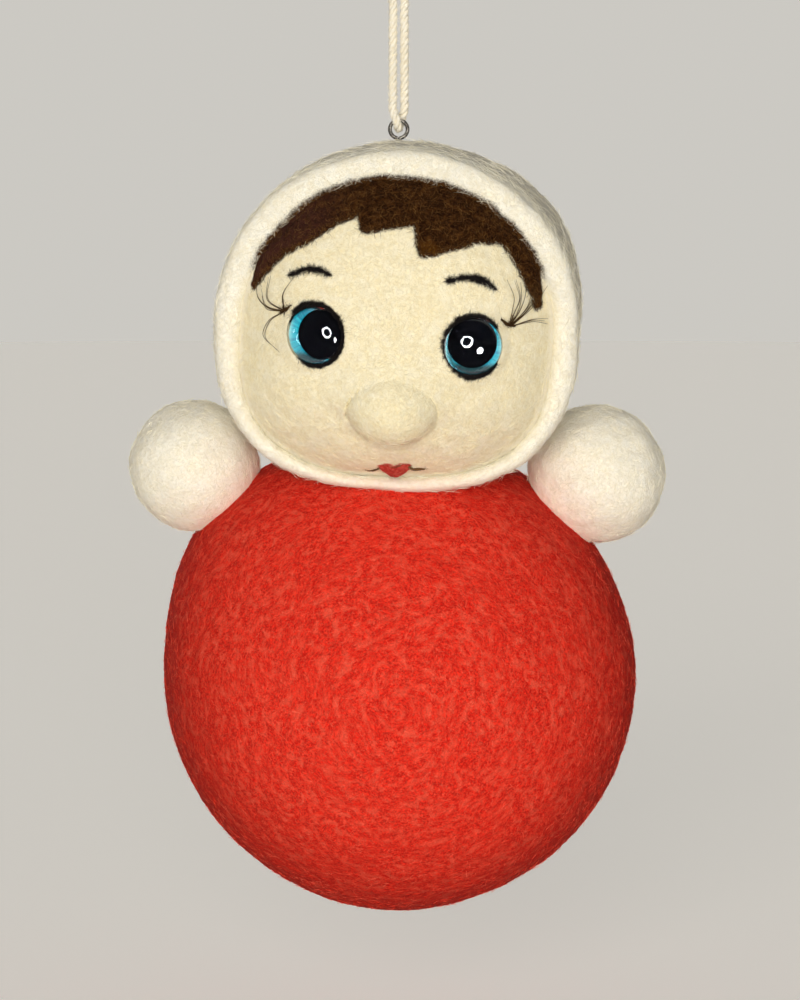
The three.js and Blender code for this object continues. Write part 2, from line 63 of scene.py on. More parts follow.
camera_data = bpy.data.cameras.new("front_camera")
camera_data.sensor_fit = "HORIZONTAL"
camera_data.lens = camera_data.sensor_width * view_distance / view_width
camera = new_object("front_camera", camera_data)
towards_camera = Vector((0, -math.cos(view_rise), math.sin(view_rise)))
camera.location = view_middle + view_distance * towards_camera
camera.rotation_euler = (math.pi / 2 - view_rise, 0, 0)
bpy.context.scene.camera = camera

# Cord. A soft cream cotton cord of three twisted plies, doubled through the screw eye: its left leg
# passes in front of the ring, the bight goes down through it, and its right leg comes up behind.
cord_diameter = 1.37 * mm
leg_route = [
    (0.9, 0.8, -25.9), (0.9, 0.8, -25), (0.92, 0.62, -23.4), (0.92, 0.3, -21), (0.92, 0.08, -18),
    (0.92, 0, -14), (0.95, 0, -10), (1.35, 0, -7.6), (2.15, 0, -5.6), (2.4, 0, -3.9),
    (1.9, 0, -2.2), (1.05, 0, -0.7), (0.8, 0, 0.5),
]
bight_route = [
    (0.9, 0.8, -26.2), (0.9, 0.8, -26.9), (0.68, 1.1, -27.7), (0.35, 1.29, -28.6),
    (0.16, 0.97, -29.45), (0, 0, -29.89), (-0.16, -0.97, -29.45),
    (-0.35, -1.29, -28.6), (-0.68, -1.1, -27.7), (-0.9, -0.8, -26.9), (-0.9, -0.8, -26.2),
]
cord_plies = 3
cord_twist = 3.4 * mm
ply_swell = 1.08
ply_sides = 8
cord_step = 0.35
crease_angle = math.radians(50)


def marks_along(points):
    """The distance along a path at each of its points."""
    return np.concatenate(([0], np.cumsum(np.linalg.norm(np.diff(points, axis=0), axis=1))))


def even_marks(marks, step):
    """Marks about a step apart over the same length."""
    return np.linspace(0, marks[-1], math.ceil(marks[-1] / step) + 1)


def smooth_curve(route, step):
    """Points about a step apart on one smooth curve through a route."""
    route = np.array(route, float)
    marks = marks_along(route)
    slopes = np.gradient(route, marks, axis=0)
    places = even_marks(marks, step)
    left = np.clip(np.searchsorted(marks, places, side="right") - 1, 0, len(route) - 2)
    span = (marks[left + 1] - marks[left])[:, None]
    t = (places[:, None] - marks[left][:, None]) / span
    ends = (2 * t**3 - 3 * t**2 + 1) * route[left] + (3 * t**2 - 2 * t**3) * route[left + 1]
    return ends + span * ((t**3 - 2 * t**2 + t) * slopes[left] + (t**3 - t**2) * slopes[left + 1])


def unit(vectors):
    """Vectors at length 1."""
    return vectors / np.maximum(np.linalg.norm(vectors, axis=-1, keepdims=True), 1e-12)


def frames_along(points):
    """Two directions across a path at each of its points, carried along it without turning."""
    tangents = unit(np.gradient(points, axis=0))
    side = np.cross(tangents[0], (0.0, 1.0, 0.0) if abs(tangents[0][1]) < 0.9 else (1.0, 0.0, 0.0))
    sides = []
    for tangent in tangents:
        side = unit(side - tangent * np.dot(side, tangent))
        sides.append(side)
    sides = np.array(sides)
    return sides, np.cross(tangents, sides)


def spokes(across, upward, sides):
    """Directions all round each point of a path, from its two directions across."""
    angles = 2 * math.pi * np.arange(sides) / sides
    return np.cos(angles)[None, :, None] * across[:, None] + np.sin(angles)[None, :, None] * upward[:, None]


def ring_faces(rings, sides):
    """The faces between rings of points that follow each other."""
    faces = []
    for ring in range(rings - 1):
        for s in range(sides):
            a, b = ring * sides + s, ring * sides + (s + 1) % sides
            faces.append((a, b, b + sides, a + sides))
    return faces


def tube(points, radii, sides):
    """A round closed tube along a path, as (points, faces)."""
    rings = spokes(*frames_along(points), sides)
    skin = (points[:, None] + np.broadcast_to(radii, len(points))[:, None, None] * rings).reshape(-1, 3)
    last = (len(points) - 1) * sides
    ends = [tuple(range(sides - 1, -1, -1)), tuple(range(last, last + sides))]
    return skin, ring_faces(len(points), sides) + ends


def together(*forms):
    """Several (points, faces) as one."""
    points, faces, first = [], [], 0
    for form_points, form_faces in forms:
        points.append(form_points)
        faces += [tuple(corner + first for corner in face) for face in form_faces]
        first += len(form_points)
    return np.concatenate(points), faces


def twisted_cord(path, first_turn=0):
    """Plies laid round a path as a twisted cord."""
    across, upward = frames_along(path)
    marks = marks_along(path)
    ply_radius = cord_diameter / 2 / (1 + 2 / math.sqrt(3))
    offset = cord_diameter / 2 - ply_radius
    plies = []
    for ply in range(cord_plies):
        turn = 2 * math.pi * (marks / cord_twist + ply / cord_plies) + first_turn
        middle = path + offset * (np.cos(turn)[:, None] * across + np.sin(turn)[:, None] * upward)
        plies.append(tube(middle, np.full(len(path), ply_radius * ply_swell), ply_sides))
    return together(*plies)


def new_mesh(name, form):
    """A mesh from (points, faces)."""
    mesh = bpy.data.meshes.new(name)
    mesh.from_pydata(np.asarray(form[0]).tolist(), [], form[1])
    return mesh


def add_piece(name, body, material, form):
    """A mesh piece from (points, faces) that rides on a body, or on none where it bends between two."""
    mesh = new_mesh(name, form)
    mesh.materials.append(material)
    mesh.shade_smooth()
    mesh.set_sharp_from_angle(angle=crease_angle)
    piece = new_object(name, mesh)
    if body:
        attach(piece, body)
    return piece


class Value:
    """The output of a shader node, which can stand in a Python expression."""

    def __init__(self, socket):
        self.socket = socket
        self.tree = socket.id_data

    @classmethod
    def of(cls, tree, kind, settings=None, inputs=None, output=0):
        """Adds a node, sets it, gives its inputs values or links, and returns one of its outputs."""
        node = tree.nodes.new(kind)
        for name, setting in (settings or {}).items():
            if name == "stops":
                ramp = node.color_ramp
                while len(ramp.elements) < len(setting):
                    ramp.elements.new(0.5)
                for element, (place, color) in zip(ramp.elements, setting):
                    element.position = place
                    element.color = (*color, 1)
            else:
                setattr(node, name, setting)
        for name, value in (inputs or {}).items():
            if isinstance(value, Value):
                tree.links.new(value.socket, node.inputs[name])
            else:
                node.inputs[name].default_value = value
        return cls(node.outputs[output])

    @classmethod
    def noted(cls, tree, name, output="Fac"):
        """What a mesh notes at its points under a name."""
        return cls.of(tree, "ShaderNodeAttribute", {"attribute_name": name}, output=output)

    def maths(self, operation, *others):
        return Value.of(self.tree, "ShaderNodeMath", {"operation": operation}, dict(enumerate(others)))

    def __add__(self, other):
        return self.maths("ADD", self, other)

    __radd__ = __add__

    def __sub__(self, other):
        return self.maths("SUBTRACT", self, other)

    def __rsub__(self, other):
        return self.maths("SUBTRACT", other, self)

    def __mul__(self, other):
        return self.maths("MULTIPLY", self, other)

    __rmul__ = __mul__

    def __abs__(self):
        return self.maths("ABSOLUTE", self)

    def __or__(self, other):
        return self.maths("MAXIMUM", self, other)

    def vector(self, operation, *others, output=0):
        """Vector maths with this as the first of its vectors."""
        vectors = dict(enumerate((self, *others)))
        return Value.of(self.tree, "ShaderNodeVectorMath", {"operation": operation}, vectors, output)

    def axis(self, number):
        """One of a vector's three numbers."""
        return Value.of(self.tree, "ShaderNodeSeparateXYZ", inputs={"Vector": self}, output=number)

    def between(self, low, high, start=0.0, end=1.0):
        """From start at low to end at high, with soft ends."""
        return Value.of(
            self.tree, "ShaderNodeMapRange", {"interpolation_type": "SMOOTHSTEP"},
            {"Value": self, "From Min": low, "From Max": high, "To Min": start, "To Max": end},
        )

    def mixed(self, first, second):
        """A colour between two others, codes or values, by this share of the second."""
        first, second = (rgb(end) if isinstance(end, str) else end for end in (first, second))
        return Value.of(self.tree, "ShaderNodeMix", {"data_type": "RGBA"}, {0: self, 6: first, 7: second}, 2)

    def feeds(self, shader, name):
        """Links this to a shader's socket."""
        self.tree.links.new(self.socket, shader.inputs[name])


def rgb(code):
    """A colour written as a hex code, in the shader's linear values."""
    shares = [int(code[i:i + 2], 16) / 255 for i in (1, 3, 5)]
    linear = [s / 12.92 if s <= 0.04045 else ((s + 0.055) / 1.055) ** 2.4 for s in shares]
    return (*linear, 1)


def new_material(name, finish):
    """A material, its main shader with a finish set on it, and the place on the piece in millimetres."""
    material = bpy.data.materials.new(name)
    material.use_nodes = True
    tree = material.node_tree
    shader = tree.nodes["Principled BSDF"]
    for socket, setting in finish.items():
        shader.inputs[socket].default_value = setting
    place = Value.of(tree, "ShaderNodeTexCoord", output="Object")
    place = Value.of(tree, "ShaderNodeVectorMath", {"operation": "SCALE"}, {"Vector": place, "Scale": 1 / mm})
    return material, shader, place


def add_relief(shader, height, depth, strength=1.0):
    """Bumps a shader by a height, to a depth in millimetres."""
    sockets = {"Strength": strength, "Distance": depth * mm, "Height": height}
    Value.of(shader.id_data, "ShaderNodeBump", inputs=sockets).feeds(shader, "Normal")


def soft_noise(place, size, detail=2.0, distortion=0.0, output=0):
    """Noise from 0 to 1 whose spots are about a size across, in millimetres."""
    sockets = {"Vector": place, "Scale": 1 / size, "Detail": detail, "Distortion": distortion}
    return Value.of(place.tree, "ShaderNodeTexNoise", inputs=sockets, output=output)


def fibre_lines(place, size, width, offset):
    """Thin winding lines, 1 on a line and 0 between, like matted fibres."""
    winding = soft_noise(place.vector("ADD", (offset,) * 3), size, 1.5, 0.9)
    return abs(winding - 0.5).between(0, width, 1.0, 0.0)


def drawn_noise(place, along, size, detail):
    """Soft noise drawn out along a direction, as the mean of a few samples that stand in its line."""
    if along is None:
        return soft_noise(place, size, detail, 0.4)
    samples = (-0.36, -0.12, 0.12, 0.36)
    total = 0
    for share in samples:
        ahead = along.vector("MULTIPLY_ADD", (share * size,) * 3, place)
        total = total + soft_noise(ahead, size, detail, 0.4) * (1 / len(samples))
    return (total - 0.5) * 1.25 + 0.5


def wool(name, dark, middle, light, size=1.0, bump=0.16, sheen=0.1, tone=None, lie=None):
    """Matted wool: soft blotches, a finer mottle and winding fibre lines. lie gives the way its fibres
    lie, and tone what its colour takes on from place to place."""
    material, shader, place = new_material(name, {
        "Roughness": 0.92, "Specular IOR Level": 0.15, "Sheen Weight": sheen, "Sheen Roughness": 0.5,
        "Sheen Tint": rgb(light),
    })
    along = lie(place) if lie else None
    lines = fibre_lines(place, 0.9 * size, 0.04, 3.7) | fibre_lines(place, 0.6 * size, 0.035, 11.3)
    blotch = drawn_noise(place, along, 1.7 * size, 2.0)
    mottle = drawn_noise(place, along, 0.48 * size, 3.0)
    colour = (mottle * 0.75 + blotch * 0.25).between(0.36, 0.6).mixed(dark, middle)
    colour = (blotch.between(0.45, 0.7) * 0.35 + lines * 0.35).mixed(colour, light)
    if tone is not None:
        colour = tone(place, colour)
    colour.feeds(shader, "Base Color")
    add_relief(shader, mottle * 0.6 + lines * 0.35 + soft_noise(place, 0.25 * size, 2.0) * 0.3, bump)
    return material


def fibre_wool(name, tones):
    """Loose fibres in a few tones, by the share that each fibre notes."""
    material, shader, _ = new_material(name, {"Roughness": 0.8, "Specular IOR Level": 0.2})
    stops = [(i / (len(tones) - 1), rgb(tone)[:3]) for i, tone in enumerate(tones)]
    share = Value.noted(shader.id_data, "tone")
    Value.of(share.tree, "ShaderNodeValToRGB", {"stops": stops}, {"Fac": share}).feeds(shader, "Base Color")
    return material


def note(piece, name, numbers, kind="FLOAT", field="value"):
    """Notes numbers or vectors at a mesh's points, for its material to read."""
    notes = piece.data.attributes.new(name, kind, "POINT")
    notes.data.foreach_set(field, np.ravel(numbers).astype(np.float32))


def points_of(mesh):
    """A mesh's points as an array."""
    places = np.empty(len(mesh.vertices) * 3, np.float32)
    mesh.vertices.foreach_get("co", places)
    return places.reshape(-1, 3)


def triangles_of(*pieces):
    """The three corners of each of the pieces' triangles."""
    found = []
    for piece in pieces:
        mesh = piece.data
        mesh.calc_loop_triangles()
        corners = np.empty(len(mesh.loop_triangles) * 3, np.int32)
        mesh.loop_triangles.foreach_get("vertices", corners)
        found.append(points_of(mesh).astype(float)[corners.reshape(-1, 3)])
    return np.concatenate(found)


def skin_tree(*pieces):
    """A search tree of the pieces' triangles, which finds the nearest place on them."""
    corners = triangles_of(*pieces).reshape(-1, 3)
    return BVHTree.FromPolygons(corners.tolist(), np.arange(len(corners)).reshape(-1, 3).tolist())


fibre_sides = 3
fibre_rings = 4
fibre_root = 0.05 * mm
fibre_looseness = 0.6
fibre_tip = 0.4
uv_margin = 0.04


def laid_flat(heading, normal):
    """Directions turned to lie along a skin."""
    return unit(heading - normal * np.sum(heading * normal, axis=1, keepdims=True))


def fibre_cell():
    """The faces of one fibre, which thins to a point, and their corners' places in a square of a UV map."""
    rings = fibre_rings - 1
    faces = [tuple(range(fibre_sides - 1, -1, -1))]
    spots = [(0.05, 0.02), (0.5, 0.12), (0.95, 0.02)]
    for ring in range(rings):
        low, high = 0.15 + 0.8 * ring / rings, 0.15 + 0.8 * (ring + 1) / rings
        for s in range(fibre_sides):
            left, right = ring * fibre_sides + s, ring * fibre_sides + (s + 1) % fibre_sides
            u0, u1 = s / fibre_sides, (s + 1) / fibre_sides
            if ring < rings - 1:
                faces.append((left, right, right + fibre_sides, left + fibre_sides))
                spots += [(u0, low), (u1, low), (u1, high), (u0, high)]
            else:
                faces.append((left, right, rings * fibre_sides))
                spots += [(u0, low), (u1, low), ((u0 + u1) / 2, high)]
    return faces, np.array(spots)


def fibres(
    name, body, material, carrier, count, length, rise, radius, seed,
    over=(), on=None, keep=None, flow=None, curl=1.2,
):
    """Loose fibres rooted on a piece, that may run over others, or only on others. length, rise and
    radius are in millimetres: length and rise are (least, most), rise being how far a tip ends off the
    skin. keep(points, normals) gives each place's share of the roots, and flow a direction."""
    draw = np.random.default_rng(seed)
    skin = skin_tree(*(on or (carrier, *over)))
    a, b, c = np.moveaxis(triangles_of(carrier), 1, 0)
    crossed = np.cross(b - a, c - a)
    shares = np.linalg.norm(crossed, axis=1)
    normals = unit(crossed)
    if keep is not None:
        shares = shares * keep((a + b + c) / 3, normals)
    chosen = draw.choice(len(shares), count, p=shares / shares.sum())
    u, v = draw.random(count), draw.random(count)
    past = u + v > 1
    u, v = np.where(past, 1 - u, u), np.where(past, 1 - v, v)
    point = a[chosen] + u[:, None] * (b - a)[chosen] + v[:, None] * (c - a)[chosen]
    normal = normals[chosen]
    heading = draw.normal(size=(count, 3))
    if flow is not None:
        heading = fibre_looseness * unit(heading) + flow(point, normal)
    heading = laid_flat(heading, normal)
    segments = fibre_rings - 1
    stride = draw.uniform(length[0] * mm, length[1] * mm, count) / segments
    tip = (rise[0] + (rise[1] - rise[0]) * draw.random(count) ** 2.2) * mm
    turn = (draw.normal(0, curl, count) / segments)[:, None]
    path = []
    for ring in range(fibre_rings):
        height = tip * (ring / segments) ** 1.6 + (0.5 * radius * mm if ring else -fibre_root)
        path.append(point + normal * height[:, None])
        if ring == segments:
            break
        heading = heading * np.cos(turn) + np.cross(normal, heading) * np.sin(turn)
        point = point + heading * stride[:, None]
        for i in range(count):
            point[i], normal[i], _, _ = skin.find_nearest(point[i])
        heading = laid_flat(heading, normal)
    path = np.array(path)
    along = unit(np.gradient(path, axis=0))
    across = unit(np.cross(along, normal))
    upward = np.cross(across, along)
    thickness = radius * mm * draw.uniform(0.7, 1.3, count)
    rings = []
    for ring in range(segments):
        width = (thickness * (1 - (1 - fibre_tip) * ring / segments))[:, None, None]
        around_it = spokes(across[ring], upward[ring], fibre_sides)
        rings.append(path[ring][:, None] + width * around_it)
    points = np.concatenate([*rings, path[-1][:, None]], axis=1)
    cell, spots = fibre_cell()
    each = points.shape[1]
    faces = [tuple(corner + each * i for corner in face) for i in range(count) for face in cell]
    piece = add_piece(name, body, material, (points.reshape(-1, 3), faces))
    note(piece, "tone", np.repeat(draw.random(count), each))
    side = math.ceil(math.sqrt(count))
    squares = np.stack([np.arange(count) % side, np.arange(count) // side], axis=1)
    uv = (squares[:, None] + uv_margin + (1 - 2 * uv_margin) * spots[None]) / side
    piece.data.uv_layers.new(name="OFBake").data.foreach_set("uv", uv.astype(np.float32).ravel())
    return piece


def around(route):
    """The same route turned half round the Z axis."""
    return [(-x, -y, z) for x, y, z in route]


cord_route = around(leg_route)[::-1][:-1] + bight_route[::-1][1:-1] + leg_route[1:]
cord_path = smooth_curve(cord_route, cord_step) * mm
cotton = wool("cotton", "#f4ead0", "#fdf7e6", "#fffdf4", size=0.35, bump=0.04, sheen=0.1)
cord = add_piece("cord", None, cotton, twisted_cord(cord_path))
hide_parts("cord_leg_left", "cord_leg_right", "cord_bight")
cotton_fluff = fibre_wool("cotton_fluff", ["#e8dcc0", "#faf3de", "#fffaec"])
cord_fluff = fibres(
    "cord_fluff", None, cotton_fluff, cord, 2200, (0.6, 2), (0.02, 0.6), 0.018, seed=11,
)
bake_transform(cord)
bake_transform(cord_fluff)

# Knot. The two ends of the same cord, wrapped round each other above the point that a hook bears
# on, with two short cut tails. It lies above the camera's field.
knot_radius = 1.42
knot_low, knot_high = 1.5, 4.7
knot_turns = 2.35
knot_steps = 40
tail_route = [
    (0.8, 0, 0.4), (0.75, 0, 2.5), (0.55, 0, 4.4), (0.75, 0.1, 6), (1.5, 0.3, 7.6), (2.5, 0.5, 9.4),
]
wrap_share = np.arange(knot_steps + 1) / knot_steps
wrap_turn = 2 * math.pi * knot_turns * wrap_share
wrap_route = np.stack([
    knot_radius * np.cos(wrap_turn), knot_radius * np.sin(wrap_turn),
    knot_low + (knot_high - knot_low) * wrap_share,
], axis=1)
knot_parts = [smooth_curve(route, cord_step) * mm for route in (wrap_route, tail_route, around(tail_route))]
knot_form = together(*(twisted_cord(part, i) for i, part in enumerate(knot_parts)))
knot = add_piece("knot", "hanger", cotton, knot_form)
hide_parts("cord_knot")
knot_fluff = fibres(
    "knot_fluff", "hanger", cotton_fluff, knot, 1200, (0.6, 2), (0.02, 0.6), 0.018, seed=12,
)

# Screw eye. A small ring of darkened steel wire whose shank is turned into the top of the hood.
# Its thread sits in the wool and the ring faces the camera.
ring_middle = np.array((0, 0, -30)) * mm
ring_wire = 0.3 * mm
ring_radius = 1.4 * mm
ring_opening = (-84, 262)
shank_length = 9 * mm
shank_point = 20
thread_pitch = 0.8 * mm
thread_height = 0.16 * mm
thread_start = 0.6 * mm
thread_run = 1.5 * mm


def dark_steel(name):
    """Steel wire darkened by use, a little brighter where it is rubbed."""
    material, shader, place = new_material(name, {"Metallic": 1})
    worn = soft_noise(place, 0.5, 3.0)
    worn.between(0.4, 0.65).mixed("#3a3632", "#8b857c").feeds(shader, "Base Color")
    worn.between(0.3, 0.7, 0.28, 0.5).feeds(shader, "Roughness")
    add_relief(shader, worn, 0.03, 0.5)
    return material


ring_turn = np.radians(np.linspace(*ring_opening, 73))
ring_path = ring_radius * np.stack([np.cos(ring_turn), 0 * ring_turn, np.sin(ring_turn)], axis=1)
neck_top = ring_path[0] + (0.02 * mm, 0, -0.25 * mm)
neck_path = np.linspace(neck_top, (0, 0, -ring_radius - shank_length), 260)
neck_path = np.concatenate([ring_path[::-1], neck_path[1:]])
down = np.clip(-ring_radius - thread_start - neck_path[:, 2], 0, None)
thread = thread_height * (0.5 - 0.5 * np.cos(2 * math.pi * down / thread_pitch))
neck_radii = ring_wire + np.minimum(down / thread_run, 1) * thread
neck_radii[-shank_point:] *= np.linspace(1, 0.12, shank_point)
screw_form = tube(neck_path + ring_middle, neck_radii, 16)
screw_eye = add_piece("screw_eye", "doll", dark_steel("dark_steel"), screw_form)
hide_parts("hang_eye")

# Body. A ball of firm white wool in a cover of red wool, needled so that the fibres lie matted
# round it. It is a little fuller at its upper left, and the neck's wool runs into its top.
core_radius = 34.9 * mm
cover_thickness = 2.9 * mm
body_radius = core_radius + cover_thickness
head_middle = np.array((0.1, -5.4, -58.4)) * mm
body_middle = np.array((0.3, 2.6, -117.1)) * mm
body_swellings = [((-0.72, -0.1, 0.7), 2.6, 0.5), ((0.8, -0.1, 0.58), -0.5, 0.4)]
core_lumps = [(3, 0.15)]
skin_gap = 0.3 * mm
hidden_step = 1.6 * mm


def swollen(points, swellings):
    """Raises soft swellings on points about the origin, each (direction, height in millimetres, spread)."""
    away = np.linalg.norm(points, axis=1, keepdims=True)
    facing = points / np.maximum(away, 1e-9)
    for towards, height, spread in swellings:
        angle = np.arccos(np.clip(facing @ unit(np.array(towards, float)), -1, 1))
        away = away + (height * mm * np.exp(-(angle / spread) ** 2))[:, None]
    return facing * away


def outward(points, faces):
    """The faces turned so that they look out of the closed skin they make."""
    thirds = np.array([(f[0], f[i], f[i + 1]) for f in faces for i in range(1, len(f) - 1)])
    a, b, c = (points[thirds[:, i]] for i in range(3))
    volume = np.sum(a * np.cross(b, c))
    return faces if volume > 0 else [face[::-1] for face in faces]


def turned(profile, columns):
    """A closed skin turned about the Y axis, from (radius, place) pairs that start and end on the axis."""
    out, along = np.array(profile[1:-1]).T
    angles = 2 * math.pi * np.arange(columns) / columns
    rings = np.stack([
        out[:, None] * np.cos(angles), np.repeat(along[:, None], columns, 1), out[:, None] * np.sin(angles),
    ], axis=2).reshape(-1, 3)
    points = np.concatenate([[(0, profile[0][1], 0)], rings, [(0, profile[-1][1], 0)]])
    last, faces = len(points) - 1, []
    for column in range(columns):
        after = (column + 1) % columns
        faces.append((0, 1 + column, 1 + after))
        for row in range(len(out) - 1):
            a, b = 1 + row * columns + column, 1 + row * columns + after
            faces.append((a, a + columns, b + columns, b))
        faces.append((last, last - columns + after, last - columns + column))
    return points, outward(points, faces)


def between_marks(places, marks, points):
    """Points at new marks along a line of straight pieces."""
    return np.stack([np.interp(places, marks, numbers) for numbers in np.transpose(points)], axis=1)


def evenly(profile, step):
    """A profile with its points about a step apart."""
    marks = marks_along(profile)
    return between_marks(even_marks(marks, step), marks, profile)


def turned_evenly(profile, radius, step):
    """A closed skin turned about the Y axis, with its points about a step apart."""
    return turned(evenly(profile, step), math.ceil(2 * math.pi * radius / step))


def ball_form(radius, step):
    """A closed round skin about the origin."""
    arc = np.linspace(0, math.pi, 181)
    return turned_evenly(radius * np.stack([np.sin(arc), np.cos(arc)], axis=1), radius, step)


def felted(form, lumps, seed):
    """A form whose skin is moved in and out by soft noise, each (size, height) in millimetres."""
    points, faces = form
    mesh = new_mesh("felted", form)
    normals = np.empty(len(points) * 3, np.float32)
    mesh.vertex_normals.foreach_get("vector", normals)
    bpy.data.meshes.remove(mesh)
    moves = np.zeros(len(points))
    for size, height in lumps:
        places = (points / (size * mm) + seed).tolist()
        moves += height * mm * np.array([noise.noise(Vector(place)) for place in places])
    return points + normals.reshape(-1, 3) * moves[:, None], faces


def moved(form, place, turn=None):
    """A form turned and moved from its own frame into the ornament's."""
    points, faces = form
    return (points if turn is None else points @ turn.T) + place, faces


def cut(piece, *forms):
    """Cuts closed forms out of a piece's closed mesh."""
    tools = []
    for form in forms:
        tool = new_object("tool", new_mesh("tool", form))
        tools.append(tool)
        difference = piece.modifiers.new("cut", "BOOLEAN")
        difference.operation = "DIFFERENCE"
        difference.solver = "MANIFOLD"
        difference.object = tool
    bpy.context.view_layer.update()
    made = bpy.data.meshes.new_from_object(piece.evaluated_get(bpy.context.evaluated_depsgraph_get()))
    piece.modifiers.clear()
    piece.data = made
    made.set_sharp_from_angle(angle=crease_angle)
    for tool in tools:
        bpy.data.objects.remove(tool)


core_wool = wool("core_wool", "#d8cfba", "#e9e1cf", "#f6f0e2", bump=0.3)
core_form = felted(ball_form(core_radius, hidden_step), core_lumps, 4)
body_core = add_piece("core_ball", "doll", core_wool, moved(core_form, body_middle))
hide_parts("body_core")


def body_form(step, grow=0.0):
    """The body's outer form about its middle."""
    points, faces = ball_form(body_radius + grow, step)
    return swollen(points, body_swellings), faces


def round_the_body(place):
    """The way the red wool lies: in rings round the body's front and back, straying a little."""
    ring = place.vector("SUBTRACT", body_middle / mm).vector("CROSS_PRODUCT", (0, -1, 0)).vector("NORMALIZE")
    stray = soft_noise(place, 5, 1.0, output="Color").vector("SUBTRACT", (0.5,) * 3)
    return stray.vector("MULTIPLY_ADD", (5,) * 3, ring)


def body_edge_shade(place, colour):
    """Painted shade: a deeper red towards the ball's edges, where its skin turns away from the view."""
    edge = Value.of(place.tree, "ShaderNodeLayerWeight", inputs={"Blend": 0.5}, output="Facing")
    return (edge.between(0.25, 1) * 0.65).mixed(colour, "#800c05")


def wound_round(root, normal):
    """The way of the loose red fibres, the same as in the wool under them."""
    return 0.35 * unit(np.cross((0, 1, 0), root - body_middle))


def off_middle(middle):
    """Picks the outer side of a skin: where it looks away from a point."""
    return lambda points, normals: np.sum((points - middle) * normals, axis=1) > 0


# The red wool's colour is darkened towards the ball's edges: painted shade.
red_wool = wool(
    "red_wool", "#d01c14", "#fb3826", "#ff7258", size=0.65, sheen=0.0, tone=body_edge_shade, lie=round_the_body,
)
body_skin_form = felted(body_form(0.62 * mm), [(18, 0.3), (3, 0.11), (1.3, 0.08)], 7)
body_skin = add_piece("body_felt", "doll", red_wool, moved(body_skin_form, body_middle))
cut(body_skin, moved(ball_form(core_radius + skin_gap, hidden_step), body_middle))
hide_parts("body_cover")
red_fibre = fibre_wool("red_fibre", ["#c01c12", "#e83824", "#fb523c", "#ff7058"])
for name, count, length, rise, radius, seed, curl in (
    ("body_strokes", 9000, (0.5, 1.5), (0.01, 0.05), 0.03, 20, 1.3),
    ("body_fuzz", 12000, (1, 2.6), (0.02, 0.6), 0.028, 21, 1.5),
):
    fibres(
        name, "doll", red_fibre, body_skin, count, length, rise, radius, seed=seed,
        keep=off_middle(body_middle), flow=wound_round, curl=curl,
    )

# Neck tuft. A short wad of white wool, needled into both cores, that holds the head on the body.
# It is out of sight between them.
head_lean = Matrix.Rotation(math.radians(-1.5), 3, "Z") @ Matrix.Rotation(math.radians(2), 3, "Y")
head_turn = np.array(head_lean @ Matrix.Rotation(math.radians(3), 3, "X"))
neck_radius = 5 * mm
neck_length = 15 * mm
neck_shares = [
    (0, -0.5), (0.6, -0.48), (0.92, -0.38), (1, -0.2), (0.9, 0), (1, 0.2), (0.92, 0.38), (0.6, 0.48),
    (0, 0.5),
]
towards_head = unit(head_middle - body_middle)
neck_upright = np.array(Vector((0, 1, 0)).rotation_difference(Vector(towards_head)).to_matrix())
neck_profile = evenly(np.array(neck_shares) * (neck_radius, neck_length), 0.8 * mm)
neck_form = felted(turned(neck_profile, 36), [(2, 0.15)], 5)
neck_middle = body_middle + body_radius * towards_head
neck = add_piece("neck_wad", "doll", core_wool, moved(neck_form, neck_middle, neck_upright))
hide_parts("neck_tuft")

# Head. A firm white ball, squarer below its middle for the jaw. The face's wool covers its front
# and the hood's wool its back.
face_half_width = 27.4 * mm
face_half_height = 26.1 * mm
face_depth = 27.5 * mm
face_thickness = 3 * mm
face_fullness = 2.6
head_half_width = 28.2 * mm
head_half_height = 26.7 * mm
head_back_depth = 26 * mm
back_fullness = 2.2
jaw_fullness = 2.65


def on_head(form):
    """A form moved from the head's frame into the ornament's."""
    return moved(form, head_middle, head_turn)


def soft_step(values, low, high):
    """From 0 at low to 1 at high, with soft ends."""
    share = np.clip((values - low) / (high - low), 0, 1)
    return share * share * (3 - 2 * share)


def quarter(radius, depth, fullness):
    """A profile from the tip on the axis out to the widest place."""
    angle = np.linspace(0, math.pi / 2, 91)
    out, along = np.sin(angle), np.abs(np.cos(angle))
    return np.stack([radius * out ** (2 / fullness), depth * along ** (2 / fullness)], axis=1)


def jaw_share(across, up):
    """How far the head's outline reaches in a direction: 1 above the middle, squarer below it."""
    reach = np.maximum(np.hypot(across, up), 1e-9)
    total = np.abs(across / reach) ** jaw_fullness + np.abs(up / reach) ** jaw_fullness
    return np.where(up >= 0, 1, np.maximum(total, 1e-9) ** (-1 / jaw_fullness))


def head_shaped(form, height_share):
    """A turned form given the head's outline, which grows rounder towards its back."""
    points, faces = form
    roundness = soft_step(points[:, 1], 0, head_back_depth)
    share = jaw_share(points[:, 0], points[:, 2]) * (1 - roundness) + roundness
    points[:, 0] *= share
    points[:, 2] *= share * height_share
    return points, faces


def head_core_form(step, grow=0.0):
    """The firm ball of the head in the head's frame."""
    inset = grow - face_thickness
    radius = face_half_width + inset
    back = head_back_depth + inset + face_half_width - head_half_width
    front = quarter(radius, -(face_depth + inset), face_fullness)
    profile = np.concatenate([front, quarter(radius, back, back_fullness)[::-1][1:]])
    return head_shaped(turned_evenly(profile, radius, step), face_half_height / face_half_width)


head_form = on_head(felted(head_core_form(hidden_step), core_lumps, 6))
head_core = add_piece("head_ball", "doll", core_wool, head_form)
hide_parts("head_core")

